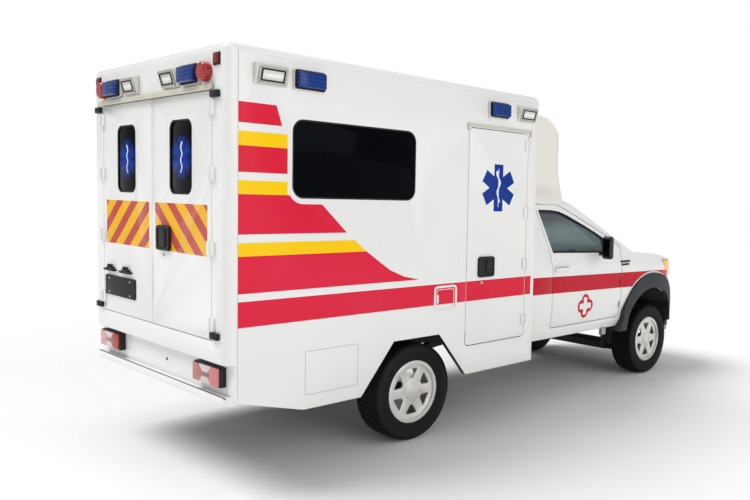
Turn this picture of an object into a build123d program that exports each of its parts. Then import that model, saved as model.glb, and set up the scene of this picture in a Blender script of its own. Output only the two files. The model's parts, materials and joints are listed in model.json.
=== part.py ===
from build123d import *
import math
import os

os.makedirs("parts", exist_ok=True)

# Millimetres. +X points forward, +Y to the left, +Z up.
# The origin lies on the ground under the middle of the vehicle.

# Whole vehicle: the cab follows the box, and the front axle follows the cab
box_length = 2760
box_half_width = 967
box_top_z = 2652
rear_lamp_proud = 58
rear_overhang_share = 0.5605
cab_gap = 40
cab_rear_to_axle = 2028
front_overhang = 852
rear_overhang = rear_overhang_share * box_length
wheelbase = box_length + cab_gap + cab_rear_to_axle - rear_overhang
overall_length = rear_lamp_proud + rear_overhang + wheelbase + front_overhang
rear_face_x = rear_lamp_proud - overall_length / 2
rear_axle_x = rear_face_x + rear_overhang
front_axle_x = rear_axle_x + wheelbase
nose_x = front_axle_x + front_overhang
box_front_x = rear_face_x + box_length

panel_gap = 6
running_gap = 0.3
overrun = 40

# Box body
box_wall = 45
box_edge_radius = 42
box_corner_radius = 58
skirt_bottom_z = 449
skirt_rear_z = 590
departure_share = 0.1888
rear_frame_depth = 70
rear_frame_bottom_z = 800
floor_bottom_z = 830
floor_thickness = 84

# Panel and step below the rear frame
rear_panel_recess = 50
rear_panel_radius = 16
rear_panel_bottom_z = 580
step_setback = 6
step_half_width = 950
step_end_radius = 55
step_bottom_z = 556
step_thickness = 48

# Wheel arch in the box side: distances from the rear axle as shares of the box length
arch_foot_back_share = 0.2091
arch_top_back_share = 0.1076
arch_top_front_share = 0.0493
arch_foot_front_share = 0.1525
arch_top_z = 793

# Rear doors: outer edges inside the box sides, windows by shares of the doors' half width
rear_post_width = 167
rear_door_bottom_z = 925
rear_door_top_share = 0.902
rear_door_thickness = 45
rear_window_inner_share = 0.314
rear_window_outer_share = 0.690
rear_window_bottom_share = 0.6716
rear_window_top_share = 0.8446
rear_window_radius = 60
rear_door_half_width = box_half_width - rear_post_width
rear_door_top_z = rear_door_top_share * box_top_z

# Hinges of the box doors
hinge_proud = 16
hinge_radius = 9
hinge_running_gap = 0.8
hinge_height = 84
hinge_leaf = 38
hinge_leaf_thickness = 13
rear_hinge_shares = [0.388, 0.556, 0.720, 0.863]
side_hinge_shares = [0.305, 0.480, 0.640, 0.846]

# Side door and side window: shares of the box length and of the box height
side_door_rear_share = 0.7065
side_door_front_share = 0.9594
side_door_bottom_z = 667
side_door_top_share = 0.883
side_door_radius = 40
side_window_rear_share = 0.1547
side_window_front_share = 0.5149
side_window_bottom_share = 0.6697
side_window_top_share = 0.8518
side_window_radius = 78
glass_thickness = 6

# Lamps on the box
lamp_row_drop = 158
beacon_length = 200
beacon_height = 100
beacon_base_margin = 12
beacon_base_depth = 20
work_housing_length = 217
work_housing_height = 124
work_head_proud = 44
work_foot_proud = 14
work_lens_length = 158
work_lens_height = 76
work_lens_depth = 7
red_lamp_radius = 58
red_lamp_depth = 50
red_dome_radius = 18
beacon_taper = 6
lamp_row_z = box_top_z - lamp_row_drop
# Kind, face, and place: across the rear face, or as a share of the box length from the rear
lamp_table = [
    ("red", "rear", 0.7715), ("beacon", "rear", 0.5812), ("work", "rear", 0.2999),
    ("work", "rear", -0.2999), ("beacon", "rear", -0.5812), ("red", "rear", -0.7715),
    ("work", "right", 0.0986), ("beacon", "right", 0.1935),
    ("beacon", "right", 0.8196), ("work", "right", 0.9431),
    ("work", "left", 0.0986), ("beacon", "left", 0.1935),
    ("beacon", "left", 0.8196), ("work", "left", 0.9431),
]

# Tail lamps, from the box sides inwards
tail_lamp_inset = 90
tail_lamp_width = 320
tail_lamp_bottom_z = 655
tail_lamp_top_z = 775
tail_lens_depth = 14
tail_lens_margin = 6
tail_face_proud = 4

# Plate holder on the left rear door
plate_width = 500
plate_height = 140
plate_depth = 12
plate_radius = 14
plate_center_y = 504
plate_center_z = 1120

# Latches
latch_width = 178
latch_height = 160
latch_depth = 16
latch_radius = 26
rear_latch_y = 186
rear_latch_z = 1501
side_latch_setback = 212
side_latch_z = 1273

# Chassis
rail_height = 120
rail_width = 60
rail_top_z = 720
rail_outer_y = 400
cross_member_diameter = 70
cross_member_shares = [0.02, 0.17, 0.36, 0.52, 0.655]
rail_front_setback = 230
rail_rear_setback = 40
bearer_width = 60
bearer_count = 6

# Cab body
cab_half_width = 890
cab_roof_z = 1850
cab_side_wall = 85
cab_panel = 40
cab_rear_x = box_front_x + cab_gap
cab_length = nose_x - cab_rear_x
firewall_setback = 560
firewall_x = front_axle_x - firewall_setback
sill_bottom_z = 565
sill_inner_y = 560
cab_floor_bottom_z = 730
engine_room_half_width = 410
wheel_well_inner_y = 430

# Cab outline in side view, from the foot of its back: the middle of an arc or None for a line,
# and the end, both as shares of the cab's length and of its roof height
cab_side_start = (0.0, 0.10)
cab_side_steps = [
    (None, (0.0, 0.985)), ((0.12, 0.994), (0.235, 0.982)), ((0.263, 0.9695), (0.29, 0.9475)),
    (None, (0.55, 0.72)), ((0.575, 0.7055), (0.61, 0.698)), ((0.79, 0.665), (0.92, 0.608)),
    ((0.972, 0.535), (1.0, 0.42)), (None, (1.0, 0.27)), ((0.982, 0.215), (0.94, 0.195)),
    (None, (0.868, 0.27)), (None, (0.86, 0.10)), (None, (0.0, 0.10)),
]
# Half of the cab outline seen from the front: shares of the half width and of the roof height
cab_front_start = (0.0, 0.10)
cab_front_steps = [
    (None, (0.62, 0.10)), (None, (0.925, 0.285)), ((1.0, 0.50), (0.968, 0.725)), (None, (0.80, 0.945)),
    ((0.722, 0.979), (0.62, 0.9925)), ((0.32, 0.999), (0.0, 1.0)), (None, (0.0, 0.10)),
]
# Half of the cab outline seen from above: shares of the cab's length and of the half width
cab_plan_start = (0.0, 0.0)
cab_plan_steps = [
    (None, (0.0, 0.985)), (None, (0.76, 1.0)), ((0.862, 0.925), (0.93, 0.80)),
    ((0.985, 0.50), (1.0, 0.0)), (None, (0.0, 0.0)),
]


def cab_x(share):
    return cab_rear_x + share * cab_length


def draw_outline(start, steps):
    """Lines and arcs through the steps, inside a line builder."""
    for middle, end in steps:
        if middle:
            ThreePointArc(start, middle, end)
        else:
            Line(start, end)
        start = end


def placed(steps, place):
    return [(middle and place(middle), place(end)) for middle, end in steps]


def side_place(shares):
    return (cab_x(shares[0]), shares[1] * cab_roof_z)


def front_place(shares):
    return (shares[0] * cab_half_width, shares[1] * cab_roof_z)


def plan_place(shares):
    return (cab_x(shares[0]), shares[1] * cab_half_width)


def cab_volume(inset):
    """The closed cab and nose, with its skin moved inwards by an even amount."""
    with BuildPart() as volume:
        with BuildSketch(Plane.XZ):
            with BuildLine():
                draw_outline(side_place(cab_side_start), placed(cab_side_steps, side_place))
            make_face()
            if inset:
                offset(amount=-inset)
        extrude(amount=cab_half_width + overrun, both=True)
        with BuildSketch(Plane.YZ.offset(cab_rear_x - overrun)):
            with BuildLine():
                draw_outline(front_place(cab_front_start), placed(cab_front_steps, front_place))
            make_face()
            mirror(about=Plane.YZ)
            if inset:
                offset(amount=-inset)
        extrude(amount=cab_length + 2 * overrun, mode=Mode.INTERSECT)
        with BuildSketch(Plane.XY):
            with BuildLine():
                draw_outline(plan_place(cab_plan_start), placed(cab_plan_steps, plan_place))
            make_face()
            mirror(about=Plane.XZ)
            if inset:
                offset(amount=-inset)
        extrude(amount=cab_roof_z + overrun, mode=Mode.INTERSECT)
    return volume.part


# Cab door and its window in side view: shares of the cab's length and of its roof height
cab_door_shares = [
    (0.118, 0.357), (0.118, 0.625), (0.110, 0.70), (0.088, 0.955), (0.205, 0.952), (0.245, 0.928),
    (0.335, 0.866), (0.435, 0.795), (0.497, 0.735), (0.500, 0.62), (0.500, 0.357),
]
cab_window_shares = [
    (0.122, 0.722), (0.100, 0.928), (0.160, 0.927), (0.205, 0.920), (0.245, 0.900), (0.330, 0.845),
    (0.385, 0.806), (0.410, 0.786), (0.414, 0.708),
]
cab_door_corner_radius = 25
cab_window_corner_radius = 12
cab_glass_inset = 22
door_inner_share = 0.70
# Room behind the door's inner face, for its swing
cab_door_room = 12
# Behind this much skin the door is smaller all round by a step, so its edges swing clear
cab_door_skin = 24
cab_door_step = 16
cab_door_front_share = 0.500
cab_hinge_setback = 20
cab_hinge_y = 887
cab_hinge_radius = 8
cab_hinge_height = 60
cab_hinge_zs = [790, 1010]
cab_handle_share = 0.160
cab_handle_z = 1188
cab_handle_length = 200
cab_handle_height = 30
cab_handle_proud = 16

# Windscreen, shares of the half width at its foot and head, and how far it stops short of both
screen_foot_share = 0.80
screen_head_share = 0.70
screen_margin = 22
screen_foot_shares = (0.55, 0.72)
screen_head_shares = (0.29, 0.9475)
screen_corner_radius = 45
screen_cut_depth = 220

# Hood, front end
hood_half_width = 700
hood_skin = 32
hood_rear_share = 0.566
hood_front_share = 0.945
hood_rear_gap = 12
hood_pin_radius = 7
hood_pin_depth = 8
hood_pin_share = 0.7015
bumper_top_z = 700
bumper_rear_share = 0.885
grille_half_width = 430
grille_top_z = 1010
grille_bottom_z = 800
grille_bar_count = 4
grille_frame = 20
grille_bar_height = 16
intake_half_width = 360
intake_top_z = 600
intake_bottom_z = 440
intake_bar_count = 2
grille_corner_share = 0.15
# Headlamp in side view: shares of the cab's length and of its roof height
headlamp_shares = [
    (0.765, 0.655), (0.792, 0.605), (0.838, 0.572), (0.93, 0.505), (1.02, 0.480), (1.02, 0.585),
    (0.955, 0.604), (0.86, 0.648),
]

# Front wheel arch and its flare
front_arch_half_width = 470
front_arch_top_z = 916
flare_half_width = 545
flare_top_z = 1072
flare_foot_z = 515
flare_foot_kick = 78
flare_inner_kick = 30
flare_proud = 24
flare_inner_y = 700

# Wheels
tyre_radius = 362.5
tyre_width = 245
tyre_bead_radius = 222
tyre_shoulder = 34
tyre_bulge_radius = 295
sidewall_fall = 8
bead_lip = 6
bead_inset = 22
rim_radius = 232
rim_barrel_radius = 205
flange_thickness = 8
rim_face_depth = 10
rim_face_thickness = 16
hub_inset = 60
hub_radius = 75
hub_face_radius = 62
hub_face_proud = 5
spoke_count = 6
slot_inner_share = 0.50
slot_outer_share = 0.87
slot_inner_half_angle = 7
slot_outer_half_angle = 19
slot_corner_radius = 9
rear_track_half = 735
front_track_half = 747

# Steering and suspension
kingpin_y = 640
kingpin_radius = 34
knuckle_height = 250
spindle_radius = 48
arm_thickness = 36
arm_root_half = 110
arm_tip_share = 0.7
suspension_beam_length = 240
axle_tube_radius = 42
differential_radius = 150
spring_half_length = 640
spring_width = 60
spring_thickness = 34

# Roof fairing between the cab roof and the box front
fairing_top_drop = 122
fairing_length = 790
fairing_half_width = 800
fairing_foot_half_width = 690
fairing_foot_z = 1720
fairing_flank_low_z = 1780
fairing_flank_high_z = 1960
fairing_top_z = box_top_z - fairing_top_drop
# Fairing in side view, from its rear foot: shares of its length and of its height above the cab roof
fairing_start = (0.0, -0.19)
fairing_steps = [
    (None, (0.0, 1.026)), (None, (0.388, 0.993)), ((0.60, 0.857), (0.722, 0.655)),
    ((0.748, 0.49), (0.725, 0.30)), ((0.748, 0.185), (0.83, 0.03)), (None, (1.0, -0.19)),
    (None, (0.0, -0.19)),
]
# Half of the fairing seen from above: shares of its length and of its half width
fairing_plan_start = (0.0, 0.0)
fairing_plan_steps = [
    (None, (0.0, 1.0)), (None, (0.56, 1.0)), ((0.70, 0.945), (0.756, 0.82)), (None, (1.0, 0.70)),
    (None, (1.0, 0.0)), (None, (0.0, 0.0)),
]

# Mirrors
mirror_share = 0.328
mirror_root_share = 0.425
mirror_root_y = 816
mirror_y = 1045
mirror_z = 1376
mirror_width = 112
mirror_depth = 60
mirror_height = 215
mirror_corner_radius = 20
mirror_edge_radius = 14
mirror_arm_drop = 90
mirror_arm_height = 46

# Steering wheel, dashboard and seats: sections as distances behind the firewall or ahead of the seat,
# and heights above the ground or the cab floor
steering_wheel_setback = 440
steering_wheel_z = 1175
steering_wheel_radius = 185
steering_wheel_tube = 15
steering_hub_radius = 56
steering_spoke_count = 3
steering_spoke_start = -90
driver_y = 370
column_radius = 38
column_tilt = 28
column_length = 90
column_depth = 60
dashboard_half_width = 760
dashboard_section = [(0, 900), (0, 1225), (200, 1225), (290, 1120), (260, 940), (160, 900)]
seat_setback = 800
seat_width = 500
seat_section = [(-180, 0), (330, 0), (300, 180), (-60, 150), (-180, 790), (-290, 790), (-200, 130)]

# Engine, gearbox, shaft and tank
engine_setback = 60
engine_length = 620
engine_half_width = 240
engine_bottom_z = 560
engine_top_z = 1040
engine_mount_length = 90
engine_mount_height = 60
gearbox_length = 700
gearbox_z = 600
gearbox_front_radius = 110
gearbox_rear_radius = 70
shaft_radius = 32
tank_setback = 350
tank_length = 560
tank_height = 220
tank_width = 320
tank_radius = 50


# Box shell: the closed outer form less the room inside it
with BuildPart() as box_shell:
    with BuildSketch(Plane.XZ):
        with BuildLine():
            Polyline(
                (rear_face_x, skirt_rear_z),
                (rear_face_x + departure_share * box_length, skirt_bottom_z),
                (rear_axle_x - arch_foot_back_share * box_length, skirt_bottom_z),
                (rear_axle_x - arch_top_back_share * box_length, arch_top_z),
                (rear_axle_x + arch_top_front_share * box_length, arch_top_z),
                (rear_axle_x + arch_foot_front_share * box_length, skirt_bottom_z),
                (box_front_x, skirt_bottom_z),
                (box_front_x, box_top_z),
                (rear_face_x, box_top_z),
                close=True,
            )
        make_face()
    extrude(amount=box_half_width, both=True)
    upright = box_shell.edges().filter_by(Axis.Z).filter_by_position(Axis.X, rear_face_x, rear_face_x)
    fillet(upright, box_corner_radius)
    fillet(box_shell.faces().sort_by(Axis.Z)[-1].edges(), box_edge_radius)
    with BuildSketch(Plane.XY.offset(skirt_bottom_z - overrun)):
        with Locations(((rear_face_x + rear_frame_depth + box_front_x - box_wall) / 2, 0)):
            Rectangle(box_length - rear_frame_depth - box_wall, 2 * (box_half_width - box_wall))
    extrude(amount=box_top_z - box_wall - skirt_bottom_z + overrun, mode=Mode.SUBTRACT)

inside_half_width = box_half_width - box_wall
ceiling_z = box_top_z - box_wall
wall_rear_x = rear_face_x + rear_frame_depth
wall_front_x = box_front_x - box_wall
wall_length = box_front_x - wall_rear_x
wall_x = (wall_rear_x + box_front_x) / 2
wall_y = (inside_half_width + box_half_width) / 2

window_x = rear_face_x + (side_window_rear_share + side_window_front_share) * box_length / 2
window_z = (side_window_bottom_share + side_window_top_share) * box_top_z / 2
window_width = (side_window_front_share - side_window_rear_share) * box_length
window_height = (side_window_top_share - side_window_bottom_share) * box_top_z

side_door_top_z = side_door_top_share * box_top_z
side_door_front_x = rear_face_x + side_door_front_share * box_length
side_door_rear_x = rear_face_x + side_door_rear_share * box_length
side_door_x = (side_door_rear_x + side_door_front_x) / 2
side_door_z = (side_door_bottom_z + side_door_top_z) / 2
side_door_width = side_door_front_x - side_door_rear_x
side_door_height = side_door_top_z - side_door_bottom_z

with BuildPart() as box_roof:
    add(box_shell.part)
    with BuildSketch(Plane.XY.offset(ceiling_z)):
        with Locations((wall_x, 0)):
            Rectangle(wall_length, 2 * box_half_width)
    extrude(amount=box_wall, mode=Mode.INTERSECT)
box_roof.part.label = "box_roof"
export_step(box_roof.part, "parts/box_roof.step")

# Side walls; the right one also has the opening of the side door
for name, side in (("left", 1), ("right", -1)):
    with BuildPart() as box_side:
        add(box_shell.part)
        with BuildSketch(Plane.XY.offset(skirt_bottom_z)):
            with Locations((wall_x, side * wall_y)):
                Rectangle(wall_length, box_wall)
        extrude(amount=ceiling_z - skirt_bottom_z, mode=Mode.INTERSECT)
        with BuildSketch(Plane.XZ.offset(-side * wall_y)):
            with Locations((window_x, window_z)):
                RectangleRounded(window_width, window_height, side_window_radius)
            if name == "right":
                with Locations((side_door_x, side_door_z)):
                    RectangleRounded(side_door_width, side_door_height, side_door_radius)
        extrude(amount=box_wall, both=True, mode=Mode.SUBTRACT)
    box_side.part.label = "box_wall_" + name
    export_step(box_side.part, "parts/box_wall_" + name + ".step")

with BuildPart() as box_wall_front:
    add(box_shell.part)
    with BuildSketch(Plane.XY.offset(floor_bottom_z)):
        with Locations(((wall_front_x + box_front_x) / 2, 0)):
            Rectangle(box_wall, 2 * inside_half_width)
    extrude(amount=ceiling_z - floor_bottom_z, mode=Mode.INTERSECT)
box_wall_front.part.label = "box_wall_front"
export_step(box_wall_front.part, "parts/box_wall_front.step")

rear_door_z = (rear_door_bottom_z + rear_door_top_z) / 2
rear_door_height = rear_door_top_z - rear_door_bottom_z

with BuildPart() as rear_frame:
    add(box_shell.part)
    with BuildSketch(Plane.XY.offset(rear_frame_bottom_z)):
        with Locations((rear_face_x + rear_frame_depth / 2, 0)):
            Rectangle(rear_frame_depth, 2 * box_half_width)
    extrude(amount=box_top_z - rear_frame_bottom_z, mode=Mode.INTERSECT)
    with BuildSketch(Plane.YZ.offset(rear_face_x - overrun)):
        with Locations((0, rear_door_z)):
            Rectangle(2 * rear_door_half_width, rear_door_height)
    extrude(amount=rear_frame_depth + 2 * overrun, mode=Mode.SUBTRACT)
    # the fixed half of each hinge, hollowed round the barrel
    for share in rear_hinge_shares:
        with BuildSketch(Plane.XY.offset(share * box_top_z - hinge_height / 2)):
            for side in (1, -1):
                with Locations((rear_face_x - hinge_proud / 2, side * (rear_door_half_width + hinge_leaf / 2))):
                    Rectangle(hinge_proud, hinge_leaf)
                with Locations((rear_face_x - hinge_proud, side * rear_door_half_width)):
                    Circle(hinge_radius + hinge_running_gap, mode=Mode.SUBTRACT)
        extrude(amount=hinge_height)
rear_frame.part.label = "rear_frame"
export_step(rear_frame.part, "parts/rear_frame.step")

# Panel below the rear frame, its stiffener between the side walls, and the step lip
panel_rear_x = rear_face_x + rear_panel_recess
panel_height = rear_frame_bottom_z - rear_panel_bottom_z
with BuildPart() as rear_skirt:
    with BuildSketch(Plane.XY.offset(rear_panel_bottom_z)):
        with Locations(((panel_rear_x + wall_rear_x) / 2, 0)):
            Rectangle(wall_rear_x - panel_rear_x, 2 * box_half_width)
        fillet(vertices().group_by(Axis.X)[0], rear_panel_radius)
    extrude(amount=panel_height)
    with BuildSketch(Plane.XY.offset(rear_panel_bottom_z)):
        with Locations((wall_rear_x, 0)):
            Rectangle(2 * rear_panel_radius, 2 * inside_half_width)
    extrude(amount=panel_height)
    with BuildSketch(Plane.XY.offset(step_bottom_z)):
        with Locations(((rear_face_x + step_setback + wall_rear_x) / 2, 0)):
            Rectangle(rear_frame_depth - step_setback, 2 * step_half_width)
        fillet(vertices().group_by(Axis.X)[0], step_end_radius)
    extrude(amount=step_thickness)
rear_skirt.part.label = "rear_skirt"
export_step(rear_skirt.part, "parts/rear_skirt.step")

with BuildPart() as box_floor:
    with BuildSketch(Plane.XY.offset(floor_bottom_z)):
        with Locations(((wall_rear_x + wall_front_x) / 2, 0)):
            Rectangle(wall_front_x - wall_rear_x, 2 * inside_half_width)
    extrude(amount=floor_thickness)
    bearer_pitch = (wall_front_x - wall_rear_x - 2 * bearer_width) / (bearer_count - 1)
    with BuildSketch(Plane.XY.offset(rail_top_z)):
        with Locations(((wall_rear_x + wall_front_x) / 2, 0)):
            with GridLocations(bearer_pitch, 0, bearer_count, 1):
                Rectangle(bearer_width, 2 * (rail_outer_y + bearer_width))
    extrude(amount=floor_bottom_z - rail_top_z)
box_floor.part.label = "box_floor"
export_step(box_floor.part, "parts/box_floor.step")

# Rear doors, each with its window and the moving halves of its hinges
leaf_width = rear_door_half_width - panel_gap - panel_gap / 2
rear_pin_x = rear_face_x - hinge_proud
rear_glass_y = (rear_window_inner_share + rear_window_outer_share) * rear_door_half_width / 2
rear_glass_z = (rear_window_bottom_share + rear_window_top_share) * box_top_z / 2
rear_glass_width = (rear_window_outer_share - rear_window_inner_share) * rear_door_half_width
rear_glass_height = (rear_window_top_share - rear_window_bottom_share) * box_top_z
for name, side in (("left", 1), ("right", -1)):
    rear_pin_y = side * rear_door_half_width
    hinge_leaf_y = side * (rear_door_half_width - panel_gap - hinge_leaf / 2)
    with BuildPart() as rear_door:
        with BuildSketch(Plane.YZ.offset(rear_face_x)):
            with Locations((side * (panel_gap + leaf_width) / 2, rear_door_z)):
                Rectangle(leaf_width, rear_door_height - 2 * panel_gap)
        extrude(amount=rear_door_thickness)
        with BuildSketch(Plane.YZ.offset(rear_face_x - overrun)):
            with Locations((side * rear_glass_y, rear_glass_z)):
                RectangleRounded(rear_glass_width, rear_glass_height, rear_window_radius)
        extrude(amount=rear_door_thickness + 2 * overrun, mode=Mode.SUBTRACT)
        for share in rear_hinge_shares:
            with BuildSketch(Plane.XY.offset(share * box_top_z - hinge_height / 2)):
                with Locations((rear_pin_x, rear_pin_y)):
                    Circle(hinge_radius)
                with Locations((rear_face_x - hinge_leaf_thickness / 2, hinge_leaf_y)):
                    Rectangle(hinge_leaf_thickness, hinge_leaf)
            extrude(amount=hinge_height)
    rear_door.part.label = "rear_door_" + name
    export_step(rear_door.part, "parts/rear_door_" + name + ".step")
    with BuildPart() as rear_glass:
        with BuildSketch(Plane.YZ.offset(rear_face_x + glass_thickness)):
            with Locations((side * rear_glass_y, rear_glass_z)):
                RectangleRounded(rear_glass_width, rear_glass_height, rear_window_radius)
        extrude(amount=glass_thickness)
    rear_glass.part.label = "rear_glass_" + name
    export_step(rear_glass.part, "parts/rear_glass_" + name + ".step")

with BuildPart() as side_windows:
    with BuildSketch(Plane.XZ.offset(box_half_width - glass_thickness)):
        with Locations((window_x, window_z)):
            RectangleRounded(window_width, window_height, side_window_radius)
    extrude(amount=-glass_thickness)
    mirror(about=Plane.XZ)
side_windows.part.label = "side_windows"
export_step(side_windows.part, "parts/side_windows.step")

side_pin_x = side_door_front_x - panel_gap / 2
with BuildPart() as side_door:
    with BuildSketch(Plane.XZ.offset(box_half_width)):
        with Locations((side_door_x, side_door_z)):
            RectangleRounded(side_door_width - 2 * panel_gap, side_door_height - 2 * panel_gap,
                             side_door_radius - panel_gap)
    extrude(amount=-box_wall)
    for share in side_hinge_shares:
        side_leaf_x = side_pin_x - panel_gap - hinge_leaf / 2
        with BuildSketch(Plane.XY.offset(share * box_top_z - hinge_height / 2)):
            with Locations((side_pin_x, -box_half_width - hinge_proud)):
                Circle(hinge_radius)
            with Locations((side_leaf_x, -box_half_width - hinge_leaf_thickness / 2)):
                Rectangle(hinge_leaf, hinge_leaf_thickness)
        extrude(amount=hinge_height)
side_door.part.label = "side_door"
export_step(side_door.part, "parts/side_door.step")

with BuildPart() as side_door_latch:
    with BuildSketch(Plane.XZ.offset(box_half_width)):
        with Locations((side_door_rear_x + side_latch_setback, side_latch_z)):
            RectangleRounded(latch_width, latch_height, latch_radius)
    extrude(amount=latch_depth)
side_door_latch.part.label = "side_door_latch"
export_step(side_door_latch.part, "parts/side_door_latch.step")

with BuildPart() as rear_door_latch:
    with BuildSketch(Plane.YZ.offset(rear_face_x)):
        with Locations((-rear_latch_y, rear_latch_z)):
            RectangleRounded(latch_width, latch_height, latch_radius)
    extrude(amount=-latch_depth)
rear_door_latch.part.label = "rear_door_latch"
export_step(rear_door_latch.part, "parts/rear_door_latch.step")

with BuildPart() as plate_holder:
    with BuildSketch(Plane.YZ.offset(rear_face_x)):
        with Locations((plate_center_y, plate_center_z)):
            RectangleRounded(plate_width, plate_height, plate_radius)
    extrude(amount=-plate_depth)
plate_holder.part.label = "plate_holder"
export_step(plate_holder.part, "parts/plate_holder.step")

# The lamp row runs round the box on three faces: each plane looks out of its face, with Z up in it
lamp_planes = {
    "rear": Plane(origin=(rear_face_x, 0, lamp_row_z), x_dir=(0, -1, 0), z_dir=(-1, 0, 0)),
    "right": Plane(origin=(0, -box_half_width, lamp_row_z), x_dir=(1, 0, 0), z_dir=(0, -1, 0)),
    "left": Plane(origin=(0, box_half_width, lamp_row_z), x_dir=(-1, 0, 0), z_dir=(0, 1, 0)),
}


def lamp_spot(face, share):
    """Distance along a lamp plane from its origin to a lamp's middle."""
    if face == "rear":
        return -share * box_half_width
    along = rear_face_x + share * box_length
    return along if face == "right" else -along


def lamps_of(wanted):
    return [(lamp_planes[face], lamp_spot(face, share)) for kind, face, share in lamp_table if kind == wanted]


# Section of a work lamp housing: height about the row, and how far it stands out
half_housing = work_housing_height / 2
work_head = (half_housing - work_foot_proud, work_head_proud)
work_foot = (work_foot_proud / 2 - half_housing, work_foot_proud)
with BuildPart() as lamp_housings:
    for plane, spot in lamps_of("beacon"):
        with BuildSketch(plane):
            with Locations((spot, 0)):
                RectangleRounded(beacon_length + 2 * beacon_base_margin,
                                 beacon_height + 2 * beacon_base_margin, beacon_base_margin)
        extrude(amount=beacon_base_depth)
    for plane, spot in lamps_of("work"):
        start = plane.from_local_coords((spot - work_housing_length / 2, 0, 0))
        with BuildSketch(Plane(origin=start, x_dir=(0, 0, 1), z_dir=plane.x_dir)):
            with BuildLine():
                Polyline((half_housing, 0), work_head, work_foot, (-half_housing, 0), close=True)
            make_face()
        extrude(amount=work_housing_length)
lamp_housings.part.label = "lamp_housings"
export_step(lamp_housings.part, "parts/lamp_housings.step")

with BuildPart() as beacon_lenses:
    for plane, spot in lamps_of("beacon"):
        with BuildSketch(plane.offset(beacon_base_depth)):
            with Locations((spot, 0)):
                RectangleRounded(beacon_length, beacon_height, beacon_base_margin)
        extrude(amount=rear_lamp_proud - beacon_base_depth, taper=beacon_taper)
beacon_lenses.part.label = "beacon_lenses"
export_step(beacon_lenses.part, "parts/beacon_lenses.step")

with BuildPart() as work_lenses:
    for plane, spot in lamps_of("work"):
        head = plane.from_local_coords((spot, work_head[0], work_head[1]))
        foot = plane.from_local_coords((spot, work_foot[0], work_foot[1]))
        outward = plane.x_dir.cross(head - foot)
        with BuildSketch(Plane(origin=(head + foot) / 2, x_dir=plane.x_dir, z_dir=outward)):
            RectangleRounded(work_lens_length, work_lens_height, beacon_base_margin)
        extrude(amount=work_lens_depth)
work_lenses.part.label = "work_lenses"
export_step(work_lenses.part, "parts/work_lenses.step")

tail_lamp_y = box_half_width - tail_lamp_inset - tail_lamp_width / 2
tail_lamp_z = (tail_lamp_bottom_z + tail_lamp_top_z) / 2
tail_lamp_height = tail_lamp_top_z - tail_lamp_bottom_z
tail_lens_x = rear_face_x - tail_face_proud + tail_lens_depth
with BuildPart() as tail_lamps:
    with BuildSketch(Plane.YZ.offset(tail_lens_x)):
        with Locations((tail_lamp_y, tail_lamp_z), (-tail_lamp_y, tail_lamp_z)):
            Rectangle(tail_lamp_width, tail_lamp_height)
    extrude(amount=panel_rear_x - tail_lens_x)
tail_lamps.part.label = "tail_lamps"
export_step(tail_lamps.part, "parts/tail_lamps.step")

with BuildPart() as red_lenses:
    for plane, spot in lamps_of("red"):
        with BuildSketch(plane):
            with Locations((spot, 0)):
                Circle(red_lamp_radius)
        extrude(amount=red_lamp_depth)
    fillet(red_lenses.faces().group_by(Axis.X)[0].edges(), red_dome_radius)
    with BuildSketch(Plane.YZ.offset(tail_lens_x)):
        with Locations((tail_lamp_y, tail_lamp_z), (-tail_lamp_y, tail_lamp_z)):
            Rectangle(tail_lamp_width - 2 * tail_lens_margin, tail_lamp_height - 2 * tail_lens_margin)
    extrude(amount=-tail_lens_depth)
red_lenses.part.label = "red_lenses"
export_step(red_lenses.part, "parts/red_lenses.step")

# Cab: one outer volume and the rooms inside it
cab_outer = cab_volume(0)
room_step_z = front_arch_top_z + cab_panel
arch_side_z = (front_arch_top_z + tyre_radius) / 2
arch_rear_x = front_axle_x - front_arch_half_width
arch_front_x = front_axle_x + front_arch_half_width
axle_z = tyre_radius

with BuildPart() as cab_room:
    add(cab_volume(cab_side_wall))
    with BuildSketch(Plane.XY.offset(cab_floor_bottom_z + cab_panel)):
        with Locations(((cab_rear_x + firewall_x) / 2, 0)):
            Rectangle(firewall_x - cab_rear_x - 2 * cab_panel, 2 * cab_half_width)
    extrude(amount=cab_roof_z, mode=Mode.INTERSECT)

with BuildPart() as engine_room:
    add(cab_volume(hood_skin))
    with BuildSketch(Plane.YZ.offset(firewall_x)):
        with BuildLine():
            Polyline(
                (engine_room_half_width, 0), (engine_room_half_width, room_step_z),
                (cab_half_width, room_step_z), (cab_half_width, cab_roof_z),
                (-cab_half_width, cab_roof_z), (-cab_half_width, room_step_z),
                (-engine_room_half_width, room_step_z), (-engine_room_half_width, 0),
                close=True,
            )
        make_face()
    extrude(amount=nose_x - cab_panel - firewall_x, mode=Mode.INTERSECT)

with BuildPart() as nose_room:
    add(cab_volume(hood_skin))
    nose_room_rear_x = arch_front_x + hood_skin
    with BuildSketch(Plane.XY):
        with Locations(((nose_room_rear_x + nose_x) / 2, 0)):
            Rectangle(nose_x - nose_room_rear_x, 2 * cab_half_width)
    extrude(amount=cab_roof_z, mode=Mode.INTERSECT)

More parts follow.
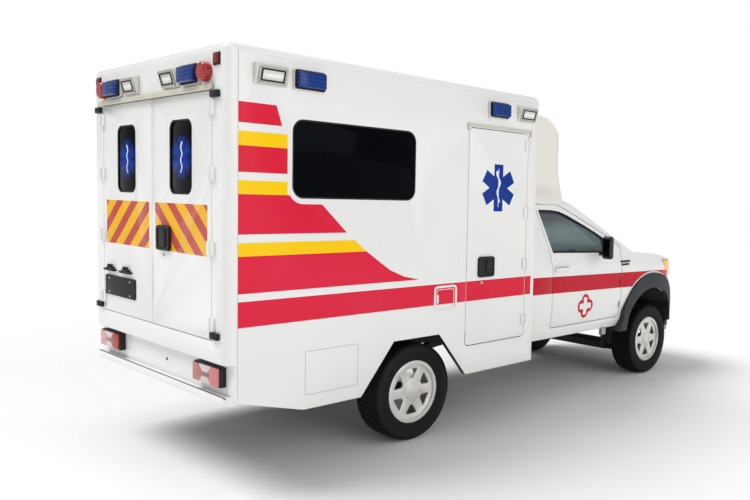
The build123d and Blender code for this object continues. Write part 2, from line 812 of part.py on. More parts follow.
with BuildPart() as cab_body:
    add(cab_outer)
    add(cab_room.part, mode=Mode.SUBTRACT)
    add(engine_room.part, mode=Mode.SUBTRACT)
    add(nose_room.part, mode=Mode.SUBTRACT)
    # the sill line behind the wheel, the floor line between the sills, and the wheel arch
    with BuildSketch(Plane.XY):
        with Locations(((cab_rear_x - overrun + arch_rear_x) / 2, 0)):
            Rectangle(arch_rear_x - cab_rear_x + overrun, 2 * (cab_half_width + overrun))
    extrude(amount=sill_bottom_z, mode=Mode.SUBTRACT)
    with BuildSketch(Plane.XY):
        with Locations(((cab_rear_x + firewall_x - overrun) / 2, 0)):
            Rectangle(firewall_x - cab_rear_x + overrun, 2 * sill_inner_y)
    extrude(amount=cab_floor_bottom_z, mode=Mode.SUBTRACT)
    with BuildSketch(Plane.XY):
        with Locations((front_axle_x, 0)):
            Rectangle(2 * front_arch_half_width, 2 * cab_half_width)
    extrude(amount=rail_top_z, mode=Mode.SUBTRACT)
    with BuildSketch(Plane.XZ.offset(-cab_half_width - overrun), Plane.XZ.offset(wheel_well_inner_y)):
        with BuildLine():
            Line((arch_rear_x, 0), (arch_rear_x, arch_side_z))
            ThreePointArc((arch_rear_x, arch_side_z), (front_axle_x, front_arch_top_z),
                          (arch_front_x, arch_side_z))
            Line((arch_front_x, arch_side_z), (arch_front_x, 0))
            Line((arch_front_x, 0), (arch_rear_x, 0))
        make_face()
    extrude(amount=cab_half_width + overrun - wheel_well_inner_y, mode=Mode.SUBTRACT)


def side_tool(shares, corner_radius, grow):
    """Both sides of the cab behind an outline in side view, down to the edge of the roof's middle."""
    with BuildPart() as tool:
        with BuildSketch(Plane.XZ):
            with BuildLine():
                Polyline([side_place(pair) for pair in shares], close=True)
            make_face()
            fillet(vertices(), corner_radius)
            if grow:
                offset(amount=grow, kind=Kind.INTERSECTION)
        extrude(amount=cab_half_width + overrun, both=True)
        with BuildSketch(Plane.XY):
            with Locations(((cab_rear_x + nose_x) / 2, 0)):
                Rectangle(cab_length + 2 * overrun, 2 * door_inner_share * cab_half_width)
        extrude(amount=cab_roof_z + overrun, mode=Mode.SUBTRACT)
    return tool.part


def screen_tool(plane, low, high):
    """The windscreen's outline on a plane along the glass, made solid between two distances."""
    half = screen_length / 2 - screen_margin
    with BuildPart() as tool:
        with BuildSketch(plane.offset(low)):
            with BuildLine():
                Polyline(
                    (-screen_foot_share * cab_half_width, -half), (screen_foot_share * cab_half_width, -half),
                    (screen_head_share * cab_half_width, half), (-screen_head_share * cab_half_width, half),
                    close=True,
                )
            make_face()
            fillet(vertices(), screen_corner_radius)
        extrude(amount=high - low)
    return tool.part


# Tools that cut the cab into its panels
door_cutter = side_tool(cab_door_shares, cab_door_corner_radius, panel_gap / 2)
door_blank = side_tool(cab_door_shares, cab_door_corner_radius, -panel_gap / 2)
window_cutter = side_tool(cab_window_shares, cab_window_corner_radius, 0)

screen_foot = Vector(cab_x(screen_foot_shares[0]), 0, screen_foot_shares[1] * cab_roof_z)
screen_head = Vector(cab_x(screen_head_shares[0]), 0, screen_head_shares[1] * cab_roof_z)
screen_rise = screen_head - screen_foot
screen_length = screen_rise.length
screen_plane = Plane(origin=(screen_foot + screen_head) / 2, x_dir=(0, 1, 0),
                     z_dir=Vector(0, 1, 0).cross(screen_rise))
screen_cutter = screen_tool(screen_plane, -screen_cut_depth, screen_cut_depth)

hood_rear_x = cab_x(hood_rear_share)
hood_front_x = cab_x(hood_front_share)
with BuildPart() as hood_cutter:
    with BuildSketch(Plane.XY.offset(room_step_z)):
        with Locations(((hood_rear_x + hood_front_x) / 2, 0)):
            Rectangle(hood_front_x - hood_rear_x, 2 * hood_half_width)
    extrude(amount=cab_roof_z)

bumper_rear_x = cab_x(bumper_rear_share)
with BuildPart() as bumper_zone:
    with BuildSketch(Plane.XY):
        with Locations(((bumper_rear_x + nose_x + overrun) / 2, 0)):
            Rectangle(nose_x + overrun - bumper_rear_x, 2 * (cab_half_width + overrun))
    extrude(amount=bumper_top_z)

with BuildPart() as headlamp_zone:
    with BuildSketch(Plane.XZ):
        with BuildLine():
            Polyline([side_place(pair) for pair in headlamp_shares], close=True)
        make_face()
    extrude(amount=cab_half_width + overrun, both=True)
    with BuildSketch(Plane.XY):
        with Locations(((cab_rear_x + nose_x) / 2, 0)):
            Rectangle(2 * cab_length, 2 * (grille_half_width + cab_panel))
    extrude(amount=cab_roof_z, mode=Mode.SUBTRACT)

# The doorway stops behind the door, so the sill and the firewall keep their full width
with BuildPart() as doorway:
    add(door_cutter)
    add(cab_volume(cab_side_wall + cab_door_room), mode=Mode.SUBTRACT)

with BuildPart() as cab_shell:
    add(cab_body.part)
    split(bisect_by=Plane.YZ.offset(firewall_x), keep=Keep.BOTTOM)
    add(doorway.part, mode=Mode.SUBTRACT)
    add(screen_cutter, mode=Mode.SUBTRACT)
cab_shell.part.label = "cab_shell"
export_step(cab_shell.part, "parts/cab_shell.step")

# Cab doors with the moving halves of their hinges and their handles
with BuildPart() as door_step:
    add(cab_volume(cab_door_skin))
    add(side_tool(cab_door_shares, cab_door_corner_radius, -panel_gap / 2 - cab_door_step), mode=Mode.SUBTRACT)
with BuildPart() as cab_doors:
    add(cab_outer)
    add(cab_volume(cab_side_wall), mode=Mode.SUBTRACT)
    add(door_blank, mode=Mode.INTERSECT)
    add(door_step.part, mode=Mode.SUBTRACT)
    add(window_cutter, mode=Mode.SUBTRACT)
with BuildPart() as cab_glasses:
    add(cab_volume(cab_glass_inset))
    add(cab_volume(cab_glass_inset + glass_thickness), mode=Mode.SUBTRACT)
    add(window_cutter, mode=Mode.INTERSECT)
cab_pin_x = cab_x(cab_door_front_share) - cab_hinge_setback
handle_x = cab_x(cab_handle_share)
handle_y = cab_half_width + cab_handle_proud - cab_side_wall / 2
for name, side, keep in (("left", 1, Keep.BOTTOM), ("right", -1, Keep.TOP)):
    with BuildPart() as cab_door:
        add(cab_doors.part)
        split(bisect_by=Plane.XZ, keep=keep)
        for hinge_z in cab_hinge_zs:
            with BuildSketch(Plane.XY.offset(hinge_z - cab_hinge_height / 2)):
                with Locations((cab_pin_x, side * cab_hinge_y)):
                    Circle(cab_hinge_radius)
            extrude(amount=cab_hinge_height)
        with BuildSketch(Plane.XY.offset(cab_handle_z - cab_handle_height / 2)):
            with Locations((handle_x, side * handle_y)):
                RectangleRounded(cab_handle_length, cab_side_wall, cab_handle_proud)
        extrude(amount=cab_handle_height)
    cab_door.part.label = "cab_door_" + name
    export_step(cab_door.part, "parts/cab_door_" + name + ".step")
    with BuildPart() as cab_glass:
        add(cab_glasses.part)
        split(bisect_by=Plane.XZ, keep=keep)
    cab_glass.part.label = "cab_glass_" + name
    export_step(cab_glass.part, "parts/cab_glass_" + name + ".step")

with BuildPart() as windscreen:
    add(screen_tool(screen_plane, -cab_glass_inset, glass_thickness - cab_glass_inset))
windscreen.part.label = "windscreen"
export_step(windscreen.part, "parts/windscreen.step")

# Nose: hood, wings, bumper, grille and headlamps
with BuildPart() as hood:
    add(cab_body.part)
    with BuildSketch(Plane.XY.offset(room_step_z + panel_gap)):
        with Locations(((hood_rear_x + hood_rear_gap + hood_front_x - panel_gap) / 2, 0)):
            Rectangle(hood_front_x - hood_rear_x - hood_rear_gap - panel_gap,
                      2 * (hood_half_width - panel_gap))
    extrude(amount=cab_roof_z, mode=Mode.INTERSECT)
hood.part.label = "hood"
export_step(hood.part, "parts/hood.step")

grille_z = (grille_top_z + grille_bottom_z) / 2
grille_height = grille_top_z - grille_bottom_z
intake_z = (intake_top_z + intake_bottom_z) / 2
intake_height = intake_top_z - intake_bottom_z
# Openings in the nose: height of the middle, half width, height, and number of bars
grille_table = [
    (grille_z, grille_half_width, grille_height, grille_bar_count),
    (intake_z, intake_half_width, intake_height, intake_bar_count),
]
with BuildPart() as grille_cutter:
    with BuildSketch(Plane.YZ.offset(hood_front_x)):
        for middle_z, half_width, height, count in grille_table:
            with Locations((0, middle_z)):
                RectangleRounded(2 * half_width, height, grille_corner_share * height)
    extrude(amount=cab_length)

with BuildPart() as front_bumper:
    add(cab_body.part)
    add(bumper_zone.part, mode=Mode.INTERSECT)
    add(grille_cutter.part, mode=Mode.SUBTRACT)
front_bumper.part.label = "front_bumper"
export_step(front_bumper.part, "parts/front_bumper.step")

with BuildPart() as headlamps:
    add(cab_body.part)
    add(headlamp_zone.part, mode=Mode.INTERSECT)
    add(hood_cutter.part, mode=Mode.SUBTRACT)
headlamps.part.label = "headlamps"
export_step(headlamps.part, "parts/headlamps.step")

hood_pin_x = hood_rear_x + hood_rear_gap + hood_pin_depth
hood_pin_z = hood_pin_share * cab_roof_z
with BuildPart() as front_body:
    add(cab_body.part)
    split(bisect_by=Plane.YZ.offset(firewall_x), keep=Keep.TOP)
    add(hood_cutter.part, mode=Mode.SUBTRACT)
    add(bumper_zone.part, mode=Mode.SUBTRACT)
    add(headlamp_zone.part, mode=Mode.SUBTRACT)
    add(screen_cutter, mode=Mode.SUBTRACT)
    add(grille_cutter.part, mode=Mode.SUBTRACT)

# The wings stand outside the engine room and carry the hood's pins: name, side, and half to keep
for name, side, keep in (("left", 1, Keep.BOTTOM), ("right", -1, Keep.TOP)):
    with BuildPart() as front_fender:
        add(front_body.part)
        split(bisect_by=Plane.XZ.offset(-side * engine_room_half_width), keep=keep)
        with BuildSketch(Plane.XZ.offset(-side * hood_half_width)):
            with Locations((hood_pin_x, hood_pin_z)):
                Circle(hood_pin_radius)
        extrude(amount=side * (panel_gap - running_gap))
    front_fender.part.label = "front_fender_" + name
    export_step(front_fender.part, "parts/front_fender_" + name + ".step")

# Between the wings, the cowl closes the engine room behind the hood and the nose panel in front of it
for name, keep in (("cowl_panel", Keep.BOTTOM), ("nose_panel", Keep.TOP)):
    with BuildPart() as front_panel:
        add(front_body.part)
        split(bisect_by=Plane.XZ.offset(-engine_room_half_width), keep=Keep.TOP)
        split(bisect_by=Plane.XZ.offset(engine_room_half_width), keep=Keep.BOTTOM)
        split(bisect_by=Plane.YZ.offset(front_axle_x), keep=keep)
    front_panel.part.label = name
    export_step(front_panel.part, "parts/" + name + ".step")

with BuildPart() as grille:
    add(cab_volume(glass_thickness))
    add(cab_volume(glass_thickness + cab_panel), mode=Mode.SUBTRACT)
    with BuildSketch(Plane.YZ.offset(hood_front_x)):
        for middle_z, half_width, height, count in grille_table:
            frame_radius = grille_corner_share * height
            with Locations((0, middle_z)):
                RectangleRounded(2 * half_width, height, frame_radius)
                RectangleRounded(2 * (half_width - grille_frame), height - 2 * grille_frame,
                                 frame_radius - grille_corner_share * grille_frame, mode=Mode.SUBTRACT)
                with GridLocations(0, height / (count + 1), 1, count):
                    Rectangle(2 * (half_width - grille_frame), grille_bar_height)
    extrude(amount=cab_length, mode=Mode.INTERSECT)
grille.part.label = "grille"
export_step(grille.part, "parts/grille.step")

# Flares round the front arches: half width, top and how far the rear foot kicks back
flare_table = [
    (flare_half_width, flare_top_z, flare_foot_kick, Mode.ADD),
    (front_arch_half_width, front_arch_top_z, flare_inner_kick, Mode.SUBTRACT),
]
with BuildPart() as wheel_flares:
    with BuildSketch(Plane.XZ):
        for half_width, top_z, kick, mode in flare_table:
            side_z = (top_z + tyre_radius) / 2
            foot = (front_axle_x - half_width - kick, flare_foot_z)
            knee = (front_axle_x - half_width, side_z - kick)
            with BuildLine():
                Line(foot, knee)
                Line(knee, (front_axle_x - half_width, side_z))
                ThreePointArc((front_axle_x - half_width, side_z), (front_axle_x, top_z),
                              (front_axle_x + half_width, side_z))
                Line((front_axle_x + half_width, side_z), (front_axle_x + half_width, flare_foot_z))
                Line((front_axle_x + half_width, flare_foot_z), foot)
            make_face(mode=mode)
    extrude(amount=cab_half_width + overrun, both=True)
    with BuildSketch(Plane.XY):
        with BuildLine():
            draw_outline(plan_place(cab_plan_start), placed(cab_plan_steps, plan_place))
        make_face()
        mirror(about=Plane.XZ)
        offset(amount=flare_proud, kind=Kind.INTERSECTION)
    extrude(amount=cab_roof_z, mode=Mode.INTERSECT)
    add(cab_outer, mode=Mode.SUBTRACT)
    add(bumper_zone.part, mode=Mode.SUBTRACT)
    with BuildSketch(Plane.XY):
        with Locations((front_axle_x, 0)):
            Rectangle(cab_length, 2 * flare_inner_y)
    extrude(amount=cab_roof_z, mode=Mode.SUBTRACT)
wheel_flares.part.label = "wheel_flares"
export_step(wheel_flares.part, "parts/wheel_flares.step")


def fairing_plan_place(shares):
    return (box_front_x + shares[0] * fairing_length, shares[1] * fairing_half_width)


def fairing_place(shares):
    return (box_front_x + shares[0] * fairing_length, cab_roof_z + shares[1] * (fairing_top_z - cab_roof_z))


with BuildPart() as roof_fairing:
    with BuildSketch(Plane.XZ):
        with BuildLine():
            draw_outline(fairing_place(fairing_start), placed(fairing_steps, fairing_place))
        make_face()
    extrude(amount=fairing_half_width, both=True)
    with BuildSketch(Plane.YZ.offset(box_front_x)):
        with BuildLine():
            Polyline(
                (-fairing_foot_half_width, fairing_foot_z), (fairing_foot_half_width, fairing_foot_z),
                (fairing_foot_half_width, fairing_flank_low_z), (fairing_half_width, fairing_flank_high_z),
                (fairing_half_width, box_top_z), (-fairing_half_width, box_top_z),
                (-fairing_half_width, fairing_flank_high_z), (-fairing_foot_half_width, fairing_flank_low_z),
                close=True,
            )
        make_face()
    extrude(amount=fairing_length, mode=Mode.INTERSECT)
    with BuildSketch(Plane.XY):
        with BuildLine():
            draw_outline(fairing_plan_place(fairing_plan_start),
                         placed(fairing_plan_steps, fairing_plan_place))
        make_face()
        mirror(about=Plane.XZ)
    extrude(amount=box_top_z, mode=Mode.INTERSECT)
    add(cab_outer, mode=Mode.SUBTRACT)
roof_fairing.part.label = "roof_fairing"
export_step(roof_fairing.part, "parts/roof_fairing.step")

# Mirrors: a head on an arm that reaches the door in front of its window
mirror_x = cab_x(mirror_share)
arm_root_x = cab_x(mirror_root_share)
for name, side in (("left", 1), ("right", -1)):
    with BuildPart() as door_mirror:
        with BuildSketch(Plane.XY.offset(mirror_z - mirror_height / 2)):
            with Locations((mirror_x, side * mirror_y)):
                RectangleRounded(mirror_depth, mirror_width, mirror_corner_radius)
        extrude(amount=mirror_height)
        fillet(door_mirror.faces().filter_by(Axis.Z).edges(), mirror_edge_radius)
        with BuildSketch(Plane.XY.offset(mirror_z - mirror_arm_drop)):
            with BuildLine():
                Polyline(
                    (mirror_x, side * (mirror_y + mirror_depth / 2)),
                    (mirror_x, side * (mirror_y - mirror_depth)),
                    (arm_root_x - mirror_width, side * mirror_root_y),
                    (arm_root_x, side * mirror_root_y),
                    close=True,
                )
            make_face()
        extrude(amount=mirror_arm_height)
        add(cab_outer, mode=Mode.SUBTRACT)
    door_mirror.part.label = "mirror_" + name
    export_step(door_mirror.part, "parts/mirror_" + name + ".step")

# Cab inside
wheel_center = Vector(firewall_x - steering_wheel_setback, driver_y, steering_wheel_z)
dashboard_x = firewall_x - cab_panel
column_lean = math.radians(column_tilt)
column_plane = Plane(origin=wheel_center, x_dir=(0, 1, 0),
                     z_dir=(-math.cos(column_lean), 0, math.sin(column_lean)))
with BuildPart() as dashboard:
    with BuildSketch(Plane.XZ):
        with BuildLine():
            Polyline([(dashboard_x - back, height) for back, height in dashboard_section], close=True)
        make_face()
    extrude(amount=dashboard_half_width, both=True)
    with BuildSketch(column_plane.offset(-column_length - column_depth)):
        Circle(column_radius)
    extrude(amount=column_depth)
dashboard.part.label = "dashboard"
export_step(dashboard.part, "parts/dashboard.step")

with BuildPart() as steering_wheel:
    with BuildSketch(Plane(origin=column_plane.origin, x_dir=column_plane.z_dir, z_dir=column_plane.x_dir)):
        with Locations((0, steering_wheel_radius)):
            Circle(steering_wheel_tube)
    revolve(axis=Axis(wheel_center, column_plane.z_dir))
    with BuildSketch(column_plane.offset(-steering_wheel_tube)):
        Circle(steering_hub_radius)
        with PolarLocations(steering_wheel_radius / 2, steering_spoke_count, steering_spoke_start):
            Rectangle(steering_wheel_radius, 2 * steering_wheel_tube)
    extrude(amount=steering_wheel_tube)
    with BuildSketch(column_plane.offset(running_gap - column_length)):
        Circle(2 * steering_wheel_tube)
    extrude(amount=column_length - running_gap - steering_wheel_tube)
steering_wheel.part.label = "steering_wheel"
export_step(steering_wheel.part, "parts/steering_wheel.step")

seat_x = firewall_x - seat_setback
seat_floor_z = cab_floor_bottom_z + cab_panel
with BuildPart() as cab_seats:
    with BuildSketch(Plane.XZ.offset(-driver_y - seat_width / 2), Plane.XZ.offset(driver_y - seat_width / 2)):
        with BuildLine():
            Polyline([(seat_x + ahead, seat_floor_z + height) for ahead, height in seat_section], close=True)
        make_face()
    extrude(amount=seat_width)
cab_seats.part.label = "cab_seats"
export_step(cab_seats.part, "parts/cab_seats.step")

# Chassis frame: two box rails and round cross members
frame_rear_x = wall_rear_x + rail_rear_setback
frame_front_x = nose_x - rail_front_setback
rail_y = rail_outer_y - rail_width / 2
rail_z = rail_top_z - rail_height / 2
rail_bottom_z = rail_top_z - rail_height
rail_gap = 2 * (rail_outer_y - rail_width)
with BuildPart() as chassis_frame:
    with BuildSketch(Plane.YZ.offset(frame_rear_x)):
        with Locations((rail_y, rail_z), (-rail_y, rail_z)):
            Rectangle(rail_width, rail_height)
    extrude(amount=frame_front_x - frame_rear_x)
    for share in cross_member_shares:
        with BuildSketch(Plane.XZ.offset(-rail_gap / 2)):
            with Locations((frame_rear_x + share * (frame_front_x - frame_rear_x), rail_z)):
                Circle(cross_member_diameter / 2)
        extrude(amount=rail_gap)
chassis_frame.part.label = "chassis_frame"
export_step(chassis_frame.part, "parts/chassis_frame.step")

engine_x = front_axle_x - engine_setback
with BuildPart() as engine_block:
    with BuildSketch(Plane.XY.offset(engine_bottom_z)):
        with Locations((engine_x, 0)):
            Rectangle(engine_length, 2 * engine_half_width)
    extrude(amount=engine_top_z - engine_bottom_z)
    with BuildSketch(Plane.XY.offset(rail_z)):
        with Locations((engine_x, 0)):
            Rectangle(engine_mount_length, rail_gap)
    extrude(amount=engine_mount_height / 2, both=True)
engine_block.part.label = "engine_block"
export_step(engine_block.part, "parts/engine_block.step")

with BuildPart() as rear_axle:
    rear_tube_half = rear_track_half + hub_inset - running_gap
    with BuildSketch(Plane.XZ.offset(-rear_tube_half)):
        with Locations((rear_axle_x, axle_z)):
            Circle(axle_tube_radius)
    extrude(amount=2 * rear_tube_half)
    with BuildSketch(Plane.XY.offset(axle_z)):
        with BuildLine():
            Line((rear_axle_x, -differential_radius), (rear_axle_x, differential_radius))
            ThreePointArc((rear_axle_x, differential_radius), (rear_axle_x + differential_radius, 0),
                          (rear_axle_x, -differential_radius))
        make_face()
    revolve(axis=Axis((rear_axle_x, 0, axle_z), (0, 1, 0)))
rear_axle.part.label = "rear_axle"
export_step(rear_axle.part, "parts/rear_axle.step")

spring_low_z = axle_z + axle_tube_radius
spring_end_z = rail_bottom_z - spring_thickness
spring_rear_x = rear_axle_x - spring_half_length
spring_front_x = rear_axle_x + spring_half_length
with BuildPart() as leaf_springs:
    with BuildSketch(Plane.XZ.offset(-rail_y - spring_width / 2), Plane.XZ.offset(rail_y - spring_width / 2)):
        with BuildLine():
            ThreePointArc((spring_rear_x, spring_end_z), (rear_axle_x, spring_low_z),
                          (spring_front_x, spring_end_z))
            Line((spring_front_x, spring_end_z), (spring_front_x, rail_bottom_z))
            Line((spring_front_x, rail_bottom_z), (spring_front_x - spring_width, rail_bottom_z))
            ThreePointArc((spring_front_x - spring_width, rail_bottom_z),
                          (rear_axle_x, spring_low_z + spring_thickness),
                          (spring_rear_x + spring_width, rail_bottom_z))
            Line((spring_rear_x + spring_width, rail_bottom_z), (spring_rear_x, rail_bottom_z))
            Line((spring_rear_x, rail_bottom_z), (spring_rear_x, spring_end_z))
        make_face()
    extrude(amount=spring_width)
leaf_springs.part.label = "leaf_springs"
export_step(leaf_springs.part, "parts/leaf_springs.step")

gearbox_front_x = engine_x - engine_length / 2
shaft_start = Vector(gearbox_front_x - gearbox_length, 0, gearbox_z)
shaft_run = Vector(rear_axle_x, 0, axle_z) - shaft_start
with BuildPart() as driveline:
    with BuildSketch(Plane.YZ.offset(gearbox_front_x)):
        with Locations((0, gearbox_z)):
            Circle(gearbox_front_radius)
    with BuildSketch(Plane.YZ.offset(gearbox_front_x - gearbox_length)):
        with Locations((0, gearbox_z)):
            Circle(gearbox_rear_radius)
    loft()
    with BuildSketch(Plane(origin=shaft_start, x_dir=(0, 1, 0), z_dir=shaft_run)):
        Circle(shaft_radius)
    extrude(amount=shaft_run.length - differential_radius - running_gap)
driveline.part.label = "driveline"
export_step(driveline.part, "parts/driveline.step")

with BuildPart() as fuel_tank:
    with BuildSketch(Plane.XZ.offset(-rail_outer_y)):
        with Locations((box_front_x - tank_setback, rail_top_z - tank_height / 2)):
            RectangleRounded(tank_length, tank_height, tank_radius)
    extrude(amount=-tank_width)
fuel_tank.part.label = "fuel_tank"
export_step(fuel_tank.part, "parts/fuel_tank.step")

low_arm_z = axle_z - knuckle_height / 2
high_arm_z = axle_z + knuckle_height / 2
arm_tip_half = arm_tip_share * kingpin_radius
with BuildPart() as front_suspension:
    for side in (1, -1):
        for arm_bottom in (low_arm_z - arm_thickness - running_gap, high_arm_z + running_gap):
            with BuildSketch(Plane.XY.offset(arm_bottom)):
                with Locations((front_axle_x, side * kingpin_y)):
                    Circle(kingpin_radius)
                with BuildLine():
                    Polyline((front_axle_x - arm_tip_half, side * kingpin_y),
                             (front_axle_x + arm_tip_half, side * kingpin_y),
                             (front_axle_x + arm_root_half, side * rail_y),
                             (front_axle_x - arm_root_half, side * rail_y),
                             close=True)
                make_face()
            extrude(amount=arm_thickness)
    with BuildSketch(Plane.XY.offset(low_arm_z - arm_thickness - running_gap)):
        with Locations((front_axle_x, 0)):
            Rectangle(suspension_beam_length, 2 * rail_outer_y)
    extrude(amount=2 * arm_thickness)
    with BuildSketch(Plane.XY.offset(low_arm_z)):
        with Locations((front_axle_x, rail_y), (front_axle_x, -rail_y)):
            Rectangle(suspension_beam_length, rail_width)
    extrude(amount=rail_bottom_z - low_arm_z)
front_suspension.part.label = "front_suspension"
export_step(front_suspension.part, "parts/front_suspension.step")

for name, side in (("left", 1), ("right", -1)):
    with BuildPart() as knuckle:
        with BuildSketch(Plane.XY.offset(low_arm_z)):
            with Locations((front_axle_x, side * kingpin_y)):
                Circle(kingpin_radius)
        extrude(amount=knuckle_height)
        with BuildSketch(Plane.XZ.offset(-side * kingpin_y)):
            with Locations((front_axle_x, axle_z)):
                Circle(spindle_radius)
        extrude(amount=-side * (front_track_half + hub_inset - running_gap - kingpin_y))
    knuckle.part.label = "knuckle_" + name
    export_step(knuckle.part, "parts/knuckle_" + name + ".step")

# Wheels: name, axle position, half track, side
wheel_table = [
    ("front_left", front_axle_x, front_track_half, 1),
    ("front_right", front_axle_x, front_track_half, -1),
    ("rear_left", rear_axle_x, rear_track_half, 1),
    ("rear_right", rear_axle_x, rear_track_half, -1),
]
bead_half = tyre_width / 2 - bead_inset
tread_half = tyre_width / 2 - tyre_shoulder
flange_y = bead_half + running_gap + flange_thickness / 2
face_y = bead_half - rim_face_depth
seat_radius = tyre_bead_radius - running_gap
# Half section of the tyre from its middle over the bead to the tread, as the side profiles above:
# distance from the axle and distance across
tyre_start = (tyre_bead_radius, 0)
tyre_steps = [
    (None, (tyre_bead_radius, bead_half)), (None, (rim_radius + bead_lip, bead_half)),
    (None, (rim_radius + 2 * bead_lip, bead_half + bead_lip)),
    ((tyre_bulge_radius, tyre_width / 2), (tyre_radius - tyre_shoulder, tyre_width / 2 - sidewall_fall)),
    (None, (tyre_radius, tread_half)), (None, (tyre_radius, 0)), (None, (tyre_bead_radius, 0)),
]
slot_inner = slot_inner_share * rim_barrel_radius
slot_outer = slot_outer_share * rim_barrel_radius
slot_inner_angle = math.radians(slot_inner_half_angle)
slot_outer_angle = math.radians(slot_outer_half_angle)
slot_points = [
    (slot_inner * math.cos(slot_inner_angle), -slot_inner * math.sin(slot_inner_angle)),
    (slot_outer * math.cos(slot_outer_angle), -slot_outer * math.sin(slot_outer_angle)),
    (slot_outer * math.cos(slot_outer_angle), slot_outer * math.sin(slot_outer_angle)),
    (slot_inner * math.cos(slot_inner_angle), slot_inner * math.sin(slot_inner_angle)),
]
for name, wheel_x, track, side in wheel_table:
    spin_axis = Axis((wheel_x, 0, axle_z), (0, 1, 0))
    section_plane = Plane(origin=(wheel_x, side * track, axle_z), x_dir=(1, 0, 0), z_dir=(0, 0, side))
    with BuildPart() as tyre:
        with BuildSketch(section_plane):
            with BuildLine():
                draw_outline(tyre_start, tyre_steps)
            make_face()
            mirror(about=Plane.XZ)
        revolve(axis=spin_axis)
    tyre.part.label = "tyre_" + name
    export_step(tyre.part, "parts/tyre_" + name + ".step")
    with BuildPart() as rim:
        with BuildSketch(section_plane):
            with Locations(((rim_barrel_radius + seat_radius) / 2, 0)):
                Rectangle(seat_radius - rim_barrel_radius, 2 * (bead_half + flange_thickness))
            with Locations(((rim_barrel_radius + rim_radius) / 2, flange_y),
                           ((rim_barrel_radius + rim_radius) / 2, -flange_y)):
                Rectangle(rim_radius - rim_barrel_radius, flange_thickness)
            with Locations((rim_barrel_radius / 2, face_y - rim_face_thickness / 2)):
                Rectangle(rim_barrel_radius, rim_face_thickness)
            with Locations((hub_radius / 2, (hub_inset + face_y) / 2)):
                Rectangle(hub_radius, face_y - hub_inset)
            with Locations((hub_face_radius / 2, face_y + hub_face_proud / 2)):
                Rectangle(hub_face_radius, hub_face_proud)
        revolve(axis=spin_axis)
        with BuildSketch(Plane(origin=(wheel_x, side * (track + bead_half), axle_z), z_dir=(0, side, 0))):
            with PolarLocations(0, spoke_count):
                Polygon(slot_points)
            fillet(vertices(), slot_corner_radius)
        extrude(amount=-bead_half, mode=Mode.SUBTRACT)
    rim.part.label = "rim_" + name
    export_step(rim.part, "parts/rim_" + name + ".step")
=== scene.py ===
import json
import math

import bpy
from mathutils import Matrix, Vector
from mathutils.bvhtree import BVHTree

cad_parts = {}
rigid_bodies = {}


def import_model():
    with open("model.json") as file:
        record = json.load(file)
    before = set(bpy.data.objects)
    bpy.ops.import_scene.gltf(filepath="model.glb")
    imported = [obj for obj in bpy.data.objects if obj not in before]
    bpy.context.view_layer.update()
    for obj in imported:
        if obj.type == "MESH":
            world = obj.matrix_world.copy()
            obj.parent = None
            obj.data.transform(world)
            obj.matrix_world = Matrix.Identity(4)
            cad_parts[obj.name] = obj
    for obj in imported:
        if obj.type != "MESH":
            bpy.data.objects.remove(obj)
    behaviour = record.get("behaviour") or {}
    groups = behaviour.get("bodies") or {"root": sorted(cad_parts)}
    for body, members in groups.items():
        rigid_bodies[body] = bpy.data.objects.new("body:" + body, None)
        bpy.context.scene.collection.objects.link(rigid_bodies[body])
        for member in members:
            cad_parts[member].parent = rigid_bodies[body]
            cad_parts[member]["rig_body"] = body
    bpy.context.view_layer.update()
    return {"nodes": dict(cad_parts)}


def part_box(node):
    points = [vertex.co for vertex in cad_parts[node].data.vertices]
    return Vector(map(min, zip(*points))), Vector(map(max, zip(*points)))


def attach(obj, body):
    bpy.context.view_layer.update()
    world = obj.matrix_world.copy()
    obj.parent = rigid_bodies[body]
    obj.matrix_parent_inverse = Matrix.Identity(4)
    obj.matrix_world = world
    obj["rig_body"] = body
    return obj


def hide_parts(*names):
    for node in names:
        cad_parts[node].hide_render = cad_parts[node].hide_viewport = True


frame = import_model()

bl_info = {
    "name": "Ambulance finish",
    "version": (1, 0, 0),
    "blender": (4, 5, 0),
    "location": "3D view > Sidebar > Ambulance",
    "description": "Dresses the box body ambulance with its panels, bands, lamps, tyres and fittings",
    "category": "Object",
}

# Places taken from the frame, in metres: +X forward, +Y left, +Z up
REAR_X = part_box("plate_holder")[1].x
SIDE_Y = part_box("box_wall_left")[1].y
REAR_AXLE_X = sum(corner.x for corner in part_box("tyre_rear_left")) / 2
FRONT_AXLE_X = sum(corner.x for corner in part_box("tyre_front_left")) / 2
AXLE_Z = sum(corner.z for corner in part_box("tyre_rear_left")) / 2
TYRE_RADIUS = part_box("tyre_rear_left")[1].z / 2
TYRE_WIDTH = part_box("tyre_rear_left")[1].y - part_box("tyre_rear_left")[0].y
WHEELS = ("front_left", "front_right", "rear_left", "rear_right")
SIDES = (("left", 1), ("right", -1))
FORWARD, UP = Vector((1, 0, 0)), Vector((0, 0, 1))
# Well outside the vehicle's sides, where the rays that look for its skin start
OUTSIDE_Y = 3.0
# Degrees between two faces from which their edge counts as sharp
SHARP_CAD_EDGE = 32
SHARP_EDGE = 50

# The lamp row: its height, and for each lamp the way its face looks and its place along that face
LAMP_Z = 2.494
TO_REAR, TO_RIGHT, TO_LEFT = (-1, 0), (0, -1), (0, 1)
BEACONS = ((TO_REAR, 0.562), (TO_REAR, -0.562), (TO_RIGHT, 0.534), (TO_RIGHT, 2.262), (TO_LEFT, 0.534),
           (TO_LEFT, 2.262))
WORK_LAMPS = ((TO_REAR, 0.290), (TO_REAR, -0.290), (TO_RIGHT, 0.272), (TO_RIGHT, 2.603), (TO_LEFT, 0.272),
              (TO_LEFT, 2.603))
MARKER_Y, MARKER_Z = 0.860, 2.560
TAIL_HALF_WIDTH = 0.160

